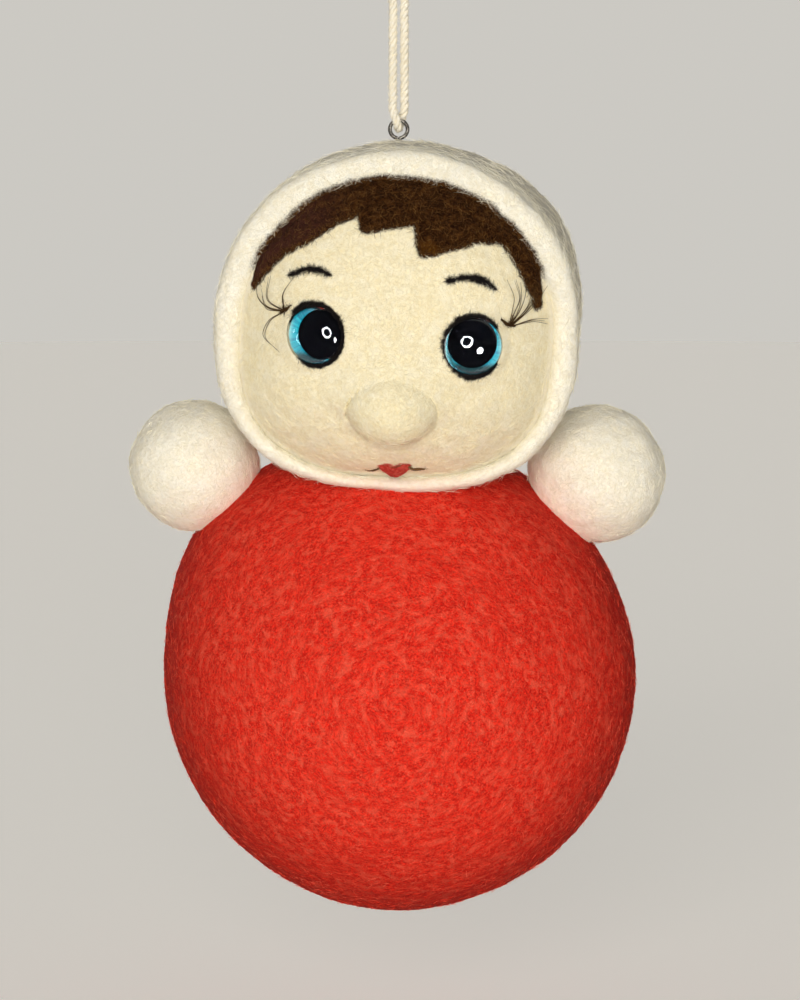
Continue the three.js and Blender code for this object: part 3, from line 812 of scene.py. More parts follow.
# Face. A layer of cream wool felted over the front of the head and tucked under the hood. It rises
# a little round each eye and where the nose runs into it.
face_tuck = 9.5 * mm
face_swell = 16 * mm
eye_radius = 4.5 * mm
eye_clear = 6.3 * mm
socket_depth = 1.7 * mm
socket_rise = 0.45 * mm
socket_spread = 1.3 * mm
nose_share = (0.003, -0.485)
nose_half = np.array((6.6, 6, 5.5)) * mm
nose_sink = 1.2 * mm
nose_drop = 0.15 * mm
eye_settings = {"left": ((-0.433, -0.049), -6), "right": ((0.434, -0.08), -4)}
stray_colours = {
    "white_strays": "#fdf6e2", "brown_strays": "#2a160a", "black_strays": "#161212", "red_strays": "#cf3a2e",
}


def face_height(across, up):
    """The place of the face along the head's Y axis, at shares of its half width and half height."""
    reach = np.minimum(1, np.hypot(across, up) / jaw_share(across, up))
    return -face_depth * (1 - reach**face_fullness) ** (1 / face_fullness)


def face_normal(shares):
    """The direction out of the face at (across, up) shares."""
    across, up = shares[..., 0], shares[..., 1]
    probe = 0.001
    rise_x = face_height(across + probe, up) - face_height(across - probe, up)
    rise_z = face_height(across, up + probe) - face_height(across, up - probe)
    slope_x, slope_z = rise_x / (2 * probe * face_half_width), rise_z / (2 * probe * face_half_height)
    return unit(np.stack([slope_x, -np.ones_like(slope_x), slope_z], axis=-1))


def face_point(shares, lift=0.0):
    """A point on the face in the head's frame, lifted off it."""
    shares = np.asarray(shares, float)
    across, up = shares[..., 0], shares[..., 1]
    place = np.stack([across * face_half_width, face_height(across, up), up * face_half_height], axis=-1)
    return place + face_normal(shares) * np.asarray(lift)[..., None]


def face_form(step, grow=0.0):
    """The face's wool as a closed form with a flat back."""
    tuck = face_tuck - grow
    radius, depth = face_half_width + grow, face_depth + grow
    edge = radius * (1 - (tuck / depth) ** face_fullness) ** (1 / face_fullness)
    dome = quarter(radius, -depth, face_fullness)
    profile = np.concatenate([dome[dome[:, 1] < -tuck], [(edge, -tuck), (0, -tuck)]])
    return head_shaped(turned_evenly(profile, radius, step), face_half_height / face_half_width)


def eye_frame(side):
    """An eye's middle on the face and its directions, as (place, left, out, up) in the ornament's frame."""
    share, turn = eye_settings[side]
    out = np.array(Matrix.Rotation(math.radians(turn), 3, "Z")) @ face_normal(np.array(share))
    up = unit(np.array((0, 0, 1)) - out * out[2])
    directions = (head_turn @ np.array((np.cross(out, up), out, up)).T).T
    return head_middle + head_turn @ face_point(share), *directions


def round_bar(radius, bottom, top, sides=48):
    """A round bar along the Y axis."""
    return turned([(0, bottom), (radius, bottom), (radius, top), (0, top)], sides)


def in_eye(form, side):
    """A form in an eye's frame, whose Y axis points out of the face, moved to that eye."""
    place, left, out, up = eye_frame(side)
    return moved(form, place, np.array((left, out, up)).T)


def nose_rise(points, middle):
    """How far the nose lies over the points of the face, less than nothing beside it."""
    from_nose = (points - middle) / nose_half
    facing = unit(points) / nose_half
    steep, slant = np.sum(facing**2, axis=1), np.sum(facing * from_nose, axis=1)
    inside = slant**2 - steep * (np.sum(from_nose**2, axis=1) - 1)
    away = (np.linalg.norm(from_nose, axis=1) - 1) * nose_half[2]
    return np.where(inside > 0, (np.sqrt(np.maximum(inside, 0)) - slant) / steep, -1.2 * away)


def face_rises(points, nose_middle):
    """How far the face's wool is drawn up to the nose and round the eyes."""
    above = soft_step(points[:, 2] - nose_middle[2], -4 * mm, 6 * mm)
    blend = (2.3 + 5 * above) * mm
    level = nose_rise(points, nose_middle) - (1 - above) * nose_drop
    rise = np.maximum(level, 0) + np.maximum(blend - np.abs(level), 0) ** 2 / (4 * blend)
    rise[np.linalg.norm(points - nose_middle, axis=1) > face_swell] = 0
    for share, _ in eye_settings.values():
        away = np.linalg.norm(points - face_point(share), axis=1)
        rise += socket_rise * np.exp(-((away - eye_radius) / socket_spread) ** 2)
    return rise * (points[:, 1] < -face_tuck - 1 * mm)


def painted_bounce(place, colour, most=0.22):
    """Painted pink bounce light from the red body, on white wool close to it."""
    away = place.vector("DISTANCE", body_middle / mm, output="Value") - body_radius / mm
    return away.between(0, 8, most, 0).mixed(colour, "#ffb8a2")


def with_strays(place, colour, *names):
    """Stray fibres of the neighbouring wools, in specks that grow thinner away from them."""
    speck = soft_noise(place, 0.2, 2.0) * 0.9
    for name in names:
        share = Value.noted(place.tree, name)
        colour = (share + speck).between(0.66, 1.36).mixed(colour, stray_colours[name])
    return colour


def face_tone(place, colour):
    """The face's painted pink bounce light above the body, and what it has caught from the wools round it."""
    names = "white_strays", "brown_strays", "red_strays", "black_strays"
    return with_strays(place, painted_bounce(place, colour, 0.1), *names)


def on_face(points, normals):
    """Picks the outer side of the face, clear of both eyes."""
    clear = [np.linalg.norm(points - middle, axis=1) > eye_clear for middle in eye_middles]
    return off_middle(head_middle)(points, normals) & np.all(clear, axis=0)


nose_middle = face_point(nose_share, -nose_sink)
face_points, face_faces = face_form(0.42 * mm)
face_points = face_points + unit(face_points) * face_rises(face_points, nose_middle)[:, None]
face_skin_form = felted((face_points, face_faces), [(9, 0.25), (2.6, 0.11), (1.1, 0.07)], 9)
face_wool = wool("face_wool", "#f3e6be", "#faf0ce", "#fff8e0", bump=0.12, sheen=0.25, tone=face_tone)
face = add_piece("face_felt", "doll", face_wool, on_head(face_skin_form))
sockets = [in_eye(round_bar(eye_radius + 0.1 * mm, -socket_depth, 8 * mm), side) for side in eye_settings]
core_tool = on_head(head_core_form(hidden_step, skin_gap))
body_tool = moved(body_form(hidden_step, -0.8 * mm), body_middle)
cut(face, core_tool, body_tool, *sockets)
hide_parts("face_cover")
eye_middles = [eye_frame(side)[0] for side in eye_settings]
face_fibre = fibre_wool("face_fibre", ["#f6e8bc", "#fdf4d2", "#fffae4"])
fibres(
    "face_fuzz", "doll", face_fibre, face, 5000, (1.2, 3.2), (0.02, 0.45), 0.026,
    seed=22, keep=on_face,
)

# Nose. A small ball of the same cream wool needled to the face, with fibres drawn over its seam.
nose_ball, nose_faces = ball_form(1, 0.075)
nose_form = felted((nose_ball * nose_half + nose_middle, nose_faces), [(3, 0.22), (1.2, 0.1)], 13)
nose = add_piece("nose_felt", "doll", face_wool, on_head(nose_form))
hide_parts("nose")
fibres(
    "nose_fuzz", "doll", face_fibre, nose, 900, (1, 2.8), (0.02, 0.45), 0.026,
    seed=23, over=[face], keep=lambda points, normals: normals[:, 1] < -0.1,
)

# Hood. White wool felted over the back of the head, its front edge rolled into a soft thick rim
# that leans a little and is lower round the chin. Its foot is tucked over the face's edge.
rim_thickness = 3.9 * mm
rim_roll = rim_thickness / 2
rim_plane = -16.3 * mm
rim_tilt = math.tan(math.radians(5))
rim_drop = 1.7 * mm
rim_outer = head_half_width - skin_gap
rim_centre = rim_outer - rim_roll
hood_foot = -13.4 * mm
rim_fullnesses = [(138, 1.7 * mm, 0.5), (48, 0.9 * mm, 0.4)]
hood_swellings = [((0.78, 0.3, 0.5), 1.6, 0.5), ((-0.75, 0.3, 0.6), -1, 0.5)]


def hood_form(step, grow=0.0):
    """The hood in the head's frame: a bowl that ends in a roll, leaning, fuller in places."""
    angle = np.linspace(math.pi, 0, 25)
    reach = rim_roll + grow
    roll = np.stack([rim_centre + reach * np.cos(angle), rim_plane - reach * np.sin(angle)], axis=1)
    back = quarter(head_half_width + grow, head_back_depth + grow, back_fullness)[::-1]
    profile = np.concatenate([[(0, hood_foot), (rim_centre - reach, hood_foot)], roll, back])
    points, faces = turned_evenly(profile, head_half_width, step)
    out = np.hypot(points[:, 0], points[:, 2])
    forward = soft_step(-points[:, 1], 0, -rim_plane)
    inward = np.clip((rim_outer - out) / rim_thickness, 0, 1)
    points[:, 1] -= points[:, 2] * rim_tilt * forward
    points[:, 2] -= rim_drop * inward * forward
    for towards, width, spread in rim_fullnesses:
        turn = np.angle(np.exp(1j * (np.arctan2(points[:, 2], points[:, 0]) - math.radians(towards))))
        slimmer = 1 - width / rim_centre * np.exp(-(turn / spread) ** 2) * inward * forward
        points[:, (0, 2)] *= slimmer[:, None]
    points, faces = head_shaped((points, faces), head_half_height / head_half_width)
    return swollen(points, hood_swellings), faces


def hood_tone(place, colour):
    """Painted shade: a greyer band behind the rim, with wandering borders; also painted pink bounce light
    above the body, and brown strays.
    """
    wander = place.axis(1) + soft_noise(place, 2.5, 2.0) * 3
    # Painted shade: the band behind the rim is mixed towards grey.
    rim_shade_band = wander.between(-17.5, -14) * wander.between(-2, 9, 0.65, 0)
    return with_strays(place, painted_bounce(place, rim_shade_band.mixed(colour, "#b9b19f")), "brown_strays")


def on_hood(points, normals):
    """Picks the outer side of the hood and its rolled rim."""
    inner = (points - head_middle) @ head_turn
    return off_middle(head_middle)(points, normals) | (inner[:, 1] < hood_foot + 0.5 * mm)


hood_wool = wool("hood_wool", "#f8f1da", "#fffae8", "#fffef4", bump=0.13, sheen=0.15, tone=hood_tone)
hood_skin_form = on_head(felted(hood_form(0.55 * mm), [(12, 0.35), (3, 0.16), (1.3, 0.08)], 15))
hood = add_piece("hood_felt", "doll", hood_wool, hood_skin_form)
cut(hood, core_tool, on_head(face_form(hidden_step, -0.7 * mm)), body_tool)
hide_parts("hood")
white_fibre = fibre_wool("white_fibre", ["#f0e8cc", "#fcf6e0", "#fffdf2"])
fibres(
    "hood_fuzz", "doll", white_fibre, hood, 10000, (1.5, 3.8), (0.03, 0.85), 0.03,
    seed=24, keep=on_hood,
)

# Eyes. Clear glass domes over painted discs: a large black pupil in a ring of turquoise. Each is
# pushed in on a wire shank, and black wool is needled round its edge, thicker on some sides.
pupil_radius = 3.2 * mm
glass_bottom = -1 * mm
glass_edge = -0.5 * mm
glass_rise = 2.7 * mm
glass_bevel = 0.1 * mm
paint_front = -0.96 * mm
paint_back = -1.4 * mm
paint_gap = 0.05 * mm
pupil_coat = 0.12 * mm
pupil_shifts = {"left": np.array((-0.7, 0, 0.1)) * mm, "right": np.array((0, 0, 0.35)) * mm}
shank_radius = 0.45 * mm
shank_start = 0.3 * mm
shank_end = 8 * mm
shank_steps = 17
liner_sink = 0.3
liner_stand = 0.6
liner_widths = {
    "left": [
        (-125, 0.03), (-105, 0.16), (-70, 0.26), (-35, 0.24), (0, 0.16), (35, 0.16), (65, 0.2),
        (90, 0.32), (118, 0.44), (142, 0.26), (160, 0.03),
    ],
    "right": [
        (40, 0.03), (60, 0.14), (90, 0.2), (125, 0.26), (155, 0.22), (180, 0.08), (210, 0.06),
        (235, 0.2), (270, 0.28), (300, 0.22), (325, 0.03),
    ],
}


def clear_glass():
    """Clear glass that lets the lamps' light through to the paint behind it."""
    finish = {"Base Color": rgb("#f4fafa"), "Transmission Weight": 1, "IOR": 1.45}
    material, shader, place = new_material("clear_glass", finish)
    soft_noise(place, 1.5, 2.0).between(0.4, 0.9, 0.0, 0.02).feeds(shader, "Roughness")
    lamp_ray = Value.of(place.tree, "ShaderNodeLightPath", output="Is Shadow Ray")
    clear = Value.of(place.tree, "ShaderNodeBsdfTransparent")
    shaders = {0: lamp_ray, 1: Value(shader.outputs[0]), 2: clear}
    shown = Value.of(place.tree, "ShaderNodeMixShader", inputs=shaders)
    shown.feeds(place.tree.nodes["Material Output"], "Surface")
    return material


def iris_paint():
    """Turquoise paint in fine streaks that run out from the pupil, with a pale painted glint on the outer
    side, painted shade on the inner side and above, and a painted shadow along the bottom.
    """
    material, shader, place = new_material("iris_paint", {"Roughness": 0.4})
    spot = Value.noted(place.tree, "eye_place", "Vector")
    streaks = soft_noise(spot.vector("NORMALIZE"), 0.05, 3.0)
    outer, up = spot.axis(0), spot.axis(2)
    colour = streaks.between(0.35, 0.65).mixed("#06789a", "#1cbccc")
    # Painted shade: deep teal on the inner side.
    colour = outer.between(-3.4, -1).mixed("#0a3440", colour)
    # Painted glint: pale cyan on the outer side, about the middle height.
    painted_glint = outer.between(3, 4.3) * abs(up - 0.5).between(0.5, 2.7, 1.0, 0.0)
    colour = (painted_glint * 0.8).mixed(colour, "#ccffff")
    # Painted shade: deeper blue towards the top.
    colour = (up.between(1, 3.6) * 0.8).mixed(colour, "#16587a")
    # Painted shadow: near black along the bottom.
    colour = up.between(-2.8, -2, 0.92, 0).mixed(colour, "#15110e")
    colour.feeds(shader, "Base Color")
    return material


def pupil_paint():
    """Black enamel with the faintest unevenness."""
    material, shader, place = new_material("pupil_paint", {"Roughness": 1, "Specular IOR Level": 0})
    soft_noise(place, 0.8, 2.0).mixed("#050506", "#0c0c10").feeds(shader, "Base Color")
    return material


def glass_form():
    """The glass in the eye's frame: flat behind, bevelled at its edge and domed in front."""
    arc = np.radians(np.linspace(0, 90, 61))
    dome = np.stack([eye_radius * np.cos(arc), glass_edge + glass_rise * np.sin(arc)], axis=1)
    bevel = [(eye_radius - glass_bevel, glass_bottom), (eye_radius, glass_bottom + glass_bevel)]
    return turned(np.concatenate([[(0, glass_bottom)], bevel, dome[:-1], [(0, dome[-1][1])]]), 96)


def shank_form():
    """The wire shank in the eye's frame, straight back from the paint and thinner towards its end."""
    path = np.zeros((shank_steps, 3))
    path[:, 1] = np.linspace(paint_back - shank_start, paint_back - shank_end, shank_steps)
    return tube(path, shank_radius * np.linspace(1, 0.6, shank_steps), 12)


def liner_form(side):
    """The roll of black wool round an eye's edge, uneven and thinning out at its two ends."""
    place, left, out, up = eye_frame(side)
    turns, widths = np.array(liner_widths[side]).T
    steps = np.linspace(turns[0], turns[-1], 90)
    thick = np.interp(steps, turns, widths) * mm
    uneven = np.array([noise.noise(Vector((step / 14, 0, 3))) for step in steps])
    reach = eye_radius + thick * liner_sink
    line = np.radians(steps)
    path = place + out * (liner_stand * thick)[:, None]
    path = path + (reach * np.cos(line))[:, None] * -left + (reach * np.sin(line))[:, None] * up
    return felted(tube(path, thick * (1 + 0.25 * uneven), 10), [(0.45, 0.2)], 17)


glass, iris_material, pupil_material = clear_glass(), iris_paint(), pupil_paint()
black_wool = wool("black_wool", "#0b0a0a", "#161415", "#282425", size=0.7, bump=0.3, sheen=0.03)
black_fibre = fibre_wool("black_fibre", ["#0b0a0a", "#1a1717", "#332c2a"])
shank_steel = dark_steel("shank_steel")
iris_form = round_bar(eye_radius - paint_gap, paint_back, paint_front - pupil_coat, 72)
pupil_form = round_bar(pupil_radius, paint_front - pupil_coat, paint_front, 72)
black_pieces = []
for side in eye_settings:
    dome = add_piece(f"eye_dome_{side}", "doll", glass, in_eye(glass_form(), side))
    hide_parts(f"eye_glass_{side}")
    iris = add_piece(f"iris_{side}", "doll", iris_material, in_eye(iris_form, side))
    outwards = -1 if side == "right" else 1
    note(iris, "eye_place", iris_form[0] * (outwards, 0, 1) / mm, "FLOAT_VECTOR", "vector")
    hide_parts(f"eye_iris_{side}")
    pupil_place = in_eye(moved(pupil_form, pupil_shifts[side]), side)
    pupil = add_piece(f"pupil_{side}", "doll", pupil_material, pupil_place)
    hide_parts(f"eye_pupil_{side}")
    shank = add_piece(f"shank_{side}", "doll", shank_steel, in_eye(shank_form(), side))
    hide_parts(f"eye_shank_{side}")
    liner = add_piece(f"liner_{side}", "doll", black_wool, liner_form(side))
    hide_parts(f"eye_liner_{side}")
    black_pieces.append(liner)
    fibres(
        f"liner_fuzz_{side}", "doll", black_fibre, liner, 4500, (0.3, 1.2), (0.02, 0.35), 0.028,
        seed=31, over=[face], curl=2,
    )

# Fringe. Dark brown wool laid flat on the forehead under the hood's edge, with a notch at the left
# and a square lock at the right. Its border with the hood is golden and its edges are loose.
fringe_thickness = 0.9 * mm
wad_sink = 0.1 * mm
lock_tip = (4.4, 0, -48.4)
fringe_shares = [
    ((-0.79, 0.185), (-0.8, 0.2)), ((-0.685, 0.34), (-0.755, 0.38)), ((-0.62, 0.405), (-0.7, 0.462)),
    ((-0.51, 0.467), (-0.58, 0.615)), ((-0.439, 0.524), (-0.5, 0.71)), ((-0.303, 0.608), (-0.345, 0.8)),
    ((-0.234, 0.644), (-0.26, 0.83)), ((-0.219, 0.668), (-0.23, 0.838)), ((-0.213, 0.632), (-0.215, 0.842)),
    ((-0.198, 0.564), (-0.2, 0.845)), ((-0.172, 0.553), (-0.175, 0.85)), ((-0.048, 0.583), (-0.05, 0.865)),
    ((0.077, 0.61), (0.08, 0.865)), ((0.102, 0.607), (0.103, 0.862)), ((0.108, 0.519), (0.115, 0.86)),
    ((0.13, 0.436), (0.14, 0.857)), ((0.205, 0.438), (0.215, 0.845)), ((0.267, 0.465), (0.285, 0.825)),
    ((0.366, 0.492), (0.4, 0.775)), ((0.453, 0.511), (0.51, 0.71)), ((0.535, 0.509), (0.6, 0.615)),
    ((0.58, 0.483), (0.66, 0.555)), ((0.646, 0.393), (0.73, 0.445)), ((0.701, 0.301), (0.775, 0.34)),
    ((0.755, 0.193), (0.795, 0.22)), ((0.775, 0.125), (0.795, 0.14)),
]


def slab(front, back):
    """A closed skin between two sheets of points over one grid."""
    columns, rows = front.shape[:2]
    points = np.concatenate([front.reshape(-1, 3), back.reshape(-1, 3)])
    grid = np.arange(len(points)).reshape(2, columns, rows)
    faces = []
    for sheet in grid:
        for c in range(columns - 1):
            for r in range(rows - 1):
                face = (sheet[c, r], sheet[c + 1, r], sheet[c + 1, r + 1], sheet[c, r + 1])
                faces.append(face if sheet is grid[0] else face[::-1])
    border = [(c, 0) for c in range(columns)] + [(columns - 1, r) for r in range(1, rows)]
    border += [(c, rows - 1) for c in range(columns - 2, -1, -1)] + [(0, r) for r in range(rows - 2, 0, -1)]
    for (c, r), (d, s) in zip(border, border[1:] + border[:1]):
        faces.append((grid[0, d, s], grid[0, c, r], grid[1, c, r], grid[1, d, s]))
    faces = [tuple(int(corner) for corner in face) for face in faces]
    return points, outward(points, faces)


def ragged_edge(edge, places, level, ragged, soft, step, seed):
    """A wad's edge shifted to and fro by soft noise, with its corners rounded."""
    for size in (1.6 * mm, 0.7 * mm):
        spots = [Vector((place / size, seed, level)) for place in places]
        shift = np.array([[noise.noise(spot), noise.noise(spot + Vector((0, 0, 4)))] for spot in spots])
        edge += ragged * mm / face_half_width * shift
    window = np.hanning(2 * round(soft / step) + 3)
    for axis in (0, 1):
        padded = np.pad(edge[:, axis], len(window) // 2, mode="reflect", reflect_type="odd")
        edge[:, axis] = np.convolve(padded, window / window.sum(), mode="valid")


def face_wad(edge_shares, thickness, taper, step, rows, ragged, soft, seed):
    """A flat wad of wool on the face between two ragged edges, in millimetres, that tapers towards them."""
    edges = np.array(edge_shares, float)
    marks = marks_along(edges[:, 0]) * face_half_width
    places = even_marks(marks, step * mm)
    lower, upper = (between_marks(places, marks, edges[:, e]) for e in (0, 1))
    ragged_edge(lower, places, 0, ragged, soft, step, seed)
    ragged_edge(upper, places, 9, ragged, soft, step, seed)
    up = np.linspace(0, 1, rows)
    shares = lower[:, None] * (1 - up)[None, :, None] + upper[:, None] * up[None, :, None]
    breadth = np.linalg.norm(upper - lower, axis=1)[:, None] * face_half_width
    along = np.minimum(1, np.minimum(places, marks[-1] - places) / (taper * mm))[:, None]
    across = np.minimum(1, np.minimum(up, 1 - up) * breadth / (taper * mm))
    round_off = np.sqrt(np.clip(1 - (1 - np.minimum(along, across)) ** 2, 0, 1))
    front = face_point(shares, wad_sink + thickness * round_off)
    return slab(front, face_point(shares, np.full(shares.shape[:2], -wad_sink)))


def edge_line(edge_shares):
    """Points along the two edges of a wad, in the ornament's frame."""
    edges = np.array(edge_shares, float)
    outline = evenly(np.concatenate([edges[:, 0], edges[::-1, 1], edges[:1, 0]]), 0.02)
    return head_middle + face_point(outline) @ head_turn.T


def near(line, reach):
    """Picks the front of a skin within reach of a line."""
    def keep(points, normals):
        away = np.array([np.min(np.linalg.norm(line - point, axis=1)) for point in points])
        return (away < reach) & (normals[:, 1] < 0)
    return keep


def in_front(points, normals):
    """Picks the front of a skin."""
    return normals[:, 1] < 0


def nearness(points, pieces, reach):
    """1 at points on the pieces, less with the distance from them."""
    tree = skin_tree(*pieces)
    away = np.array([tree.find_nearest(point)[3] for point in points.tolist()])
    return np.exp(-(away / reach) ** 2)


def beside(piece, reach):
    """Roots on a skin close to another piece, fewer with the distance, where the front view shows them."""
    return lambda points, normals: nearness(points, [piece], reach) * (normals[:, 1] < 0.25)


def catch_strays(piece, name, pieces, reach):
    """Notes on a skin how near it is to other pieces, whose stray fibres it has caught."""
    note(piece, name, nearness(points_of(piece.data), pieces, reach * mm))


def fringe_tone(place, colour):
    """Purplish at the left end, golden at the lock's tip."""
    colour = (place.axis(0).between(-5, -17) * 0.7).mixed(colour, "#4e2d2a")
    away = place.vector("MULTIPLY", (1, 0, 1)).vector("DISTANCE", lock_tip, output="Value")
    return away.between(0.3, 2.6, 0.6, 0).mixed(colour, "#74480e")


def drawn_out(root, normal):
    """The way of the golden fibres: out from the head's middle."""
    return 0.5 * unit(root - head_middle)


brown_wool = wool(
    "brown_wool", "#150803", "#321909", "#785026", size=0.6, bump=0.25, sheen=0.0, tone=fringe_tone,
)
fringe_form = felted(
    face_wad(fringe_shares, fringe_thickness, taper=2.2, step=0.3, rows=32, ragged=0.3, soft=0.4, seed=41),
    [(1.6, 0.2), (0.8, 0.12), (0.45, 0.06)], 19,
)
fringe = add_piece("fringe", "doll", brown_wool, on_head(fringe_form))
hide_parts("hair_fringe")
catch_strays(face, "brown_strays", [fringe], 0.6)
catch_strays(hood, "brown_strays", [fringe], 1)
catch_strays(face, "white_strays", [hood], 1.5)
brown_fibre = fibre_wool("brown_fibre", ["#180b05", "#341c0c", "#523418", "#7e5a30"])
fibres(
    "fringe_fuzz", "doll", brown_fibre, fringe, 7000, (0.8, 2.2), (0.01, 0.3), 0.032,
    seed=42, over=[face, hood], keep=in_front, curl=1.8,
)
fibres(
    "fringe_edge", "doll", brown_fibre, fringe, 11000, (0.3, 1.1), (0.02, 0.25), 0.034,
    seed=44, over=[face, hood], keep=near(edge_line(fringe_shares), 0.5 * mm), curl=1.8,
)
gold_fibre = fibre_wool("gold_fibre", ["#241207", "#3c240e", "#5c3a18", "#84592e"])
fibres(
    "fringe_border", "doll", gold_fibre, fringe, 12000, (0.3, 1.5), (0.01, 0.2), 0.032,
    seed=43, on=[hood], keep=beside(hood, 0.25 * mm), flow=drawn_out, curl=1.8,
)
fibres(
    "rim_fuzz", "doll", white_fibre, hood, 9000, (0.6, 1.8), (0.02, 0.3), 0.032,
    seed=45, over=[face], keep=beside(face, 0.5 * mm), curl=1.4,
)

# Mouth. One thin wavy line of brown wool, thicker at its right end, over a small pair of red lips.
# Both are needled on just above the hood's rim.
lip_thickness = 0.4 * mm
lip_shares = [
    ((-0.066, -0.85), (-0.062, -0.838)), ((-0.029, -0.885), (-0.022, -0.829)),
    ((0.008, -0.915), (0.012, -0.851)), ((0.03, -0.915), (0.024, -0.85)),
    ((0.066, -0.888), (0.056, -0.827)), ((0.099, -0.844), (0.095, -0.83)),
]
mouth_shares = [
    (-0.15, -0.87), (-0.115, -0.878), (-0.08, -0.862), (-0.03, -0.832), (0.012, -0.848), (0.055, -0.83),
    (0.095, -0.836), (0.125, -0.853), (0.155, -0.85), (0.19, -0.849),
]
mouth_radii = (0.03, 0.1, 0.12, 0.02, 0.02, 0.02, 0.1, 0.15, 0.24, 0.08)


def face_strand(shares, radii, lift=0.0, sides=8):
    """A strand over the face along a smooth line of shares, its radii and its tip's lift in millimetres."""
    shares = np.array(shares)
    rise = (np.linspace(0, 1, len(shares)) * lift + 0.1) * mm
    path = smooth_curve(face_point(shares, rise) / mm, 0.25) * mm
    widths = np.interp(np.linspace(0, 1, len(path)), np.linspace(0, 1, len(radii)), radii)
    return tube(path, widths * mm, sides)


lip_wool = wool("lip_wool", "#b02a22", "#cc4038", "#e0705e", size=0.5, bump=0.15, sheen=0.05)
lips_form = felted(
    face_wad(lip_shares, lip_thickness, taper=0.8, step=0.12, rows=16, ragged=0.1, soft=0.5, seed=51),
    [(0.6, 0.08)], 21,
)
lips = add_piece("lip_felt", "doll", lip_wool, on_head(lips_form))
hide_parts("lips")
catch_strays(face, "red_strays", [lips], 0.5)
lip_fibre = fibre_wool("lip_fibre", ["#9c1f18", "#cf4238", "#e27a68"])
fibres(
    "lip_fuzz", "doll", lip_fibre, lips, 2200, (0.3, 1.1), (0.01, 0.2), 0.026,
    seed=52, over=[face], keep=in_front, curl=1.8,
)
line_brown = wool("line_brown", "#5e4028", "#7d5a3c", "#99774f", size=0.4, bump=0.08, sheen=0.03)
mouth_form = on_head(face_strand(mouth_shares, mouth_radii))
mouth = add_piece("mouth_line", "doll", line_brown, mouth_form)
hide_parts("mouth_corner_left", "mouth_corner_right")
line_fibre = fibre_wool("line_fibre", ["#4e3420", "#7d5a3c", "#9b7a52"])
fibres(
    "mouth_fuzz", "doll", line_fibre, mouth, 450, (0.4, 1.1), (0.02, 0.2), 0.018,
    seed=53, over=[face],
)

# Brows and lashes. Short arcs of black wool over the eyes, and thin brown hairs that spread from a
# dark tangle at each eye's upper outer corner.
brow_radii = (0.03, 0.09, 0.16, 0.15, 0.04)
brow_shares = {
    "left": [(-0.589, 0.283), (-0.507, 0.32), (-0.441, 0.328), (-0.362, 0.301)],
    "right": [(0.28, 0.291), (0.398, 0.312), (0.474, 0.293), (0.545, 0.247)],
}
root_radii = (0.12, 0.25, 0.12)
lash_roots = {
    "left": [(-0.57, 0.115), (-0.6, 0.085), (-0.63, 0.068)],
    "right": [(0.58, 0.075), (0.62, 0.045), (0.66, 0.035)],
}
lash_radii = (0.06, 0.045, 0.02)
lash_shares = {
    "left": [
        [(-0.61, 0.075), (-0.685, 0.084), (-0.735, 0.133), (-0.74, 0.251)],
        [(-0.61, 0.075), (-0.703, 0.103), (-0.71, 0.187)],
        [(-0.61, 0.075), (-0.687, 0.132), (-0.663, 0.261)],
        [(-0.61, 0.08), (-0.61, 0.156), (-0.545, 0.26)],
        [(-0.615, 0.07), (-0.685, 0.014), (-0.705, -0.059), (-0.618, -0.144)],
    ],
    "right": [
        [(0.63, 0.045), (0.645, 0.117), (0.658, 0.18), (0.62, 0.286)],
        [(0.635, 0.045), (0.67, 0.116), (0.687, 0.2), (0.68, 0.29)],
        [(0.64, 0.045), (0.715, 0.135), (0.742, 0.272)],
        [(0.645, 0.04), (0.734, 0.155), (0.762, 0.25)],
        [(0.65, 0.037), (0.75, 0.071), (0.8, 0.07)],
    ],
}
lash_companions = {"left": 2, "right": 3}
lash_spread = 0.018
lash_lift = 1.4
lash_fall = 0.35
lash_draw = np.random.default_rng(62)


def lash_form(side):
    """The dark root of an eye's lashes and the hairs that leave it, each with its companions."""
    hairs = []
    for shares in lash_shares[side]:
        for companion in range(lash_companions[side]):
            away = lash_draw.normal(0, lash_spread, 2) * min(companion, 1)
            shifted = np.array(shares) + np.linspace(0, 1, len(shares))[:, None] * away
            hairs.append(face_strand(shifted, lash_radii, lash_lift - lash_fall * companion, 6))
    return together(face_strand(lash_roots[side], root_radii), *hairs)


lash_fibre = fibre_wool("lash_fibre", ["#20150d", "#3a2818", "#5a4228"])
lash_hair = wool("lash_hair", "#2e2014", "#4a3620", "#6b5230", size=0.3, bump=0.03, sheen=0.03)
for side in eye_settings:
    brow_form = on_head(felted(face_strand(brow_shares[side], brow_radii), [(0.5, 0.22)], 23))
    brow = add_piece(f"brow_{side}", "doll", black_wool, brow_form)
    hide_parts(f"eyebrow_{side}")
    black_pieces.append(brow)
    fibres(
        f"brow_fuzz_{side}", "doll", black_fibre, brow, 2200, (0.4, 1.3), (0.01, 0.2), 0.026,
        seed=61, over=[face], curl=1.6,
    )
    lash = add_piece(f"lash_{side}", "doll", lash_hair, on_head(lash_form(side)))
    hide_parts(f"eyelash_{side}")
    lash_root = head_middle + head_turn @ face_point(lash_roots[side][1])
    fibres(
        f"lash_tangle_{side}", "doll", lash_fibre, lash, 260, (0.4, 1.3), (0.02, 0.4), 0.024,
        seed=63, over=[face], keep=near(lash_root[None], 1.1 * mm), curl=2,
    )
catch_strays(face, "black_strays", black_pieces, 0.36)

# Hands. Two small balls of white wool needled to the body's shoulders under the hood. Each is
# (radius, depth in the body, direction from the body's middle).
hand_settings = {
    "left": (10.25 * mm, 0.8 * mm, (-0.694, -0.076, 0.716)),
    "right": (10.85 * mm, 3.45 * mm, (0.69, -0.078, 0.719)),
}
hand_lumps = [(6, 0.35), (2.4, 0.13), (1.1, 0.07)]
hood_tool = on_head(hood_form(hidden_step, -0.8 * mm))


def hand_tone(place, colour):
    """The hand's faint painted pink bounce light above the body."""
    return painted_bounce(place, colour, 0.08)


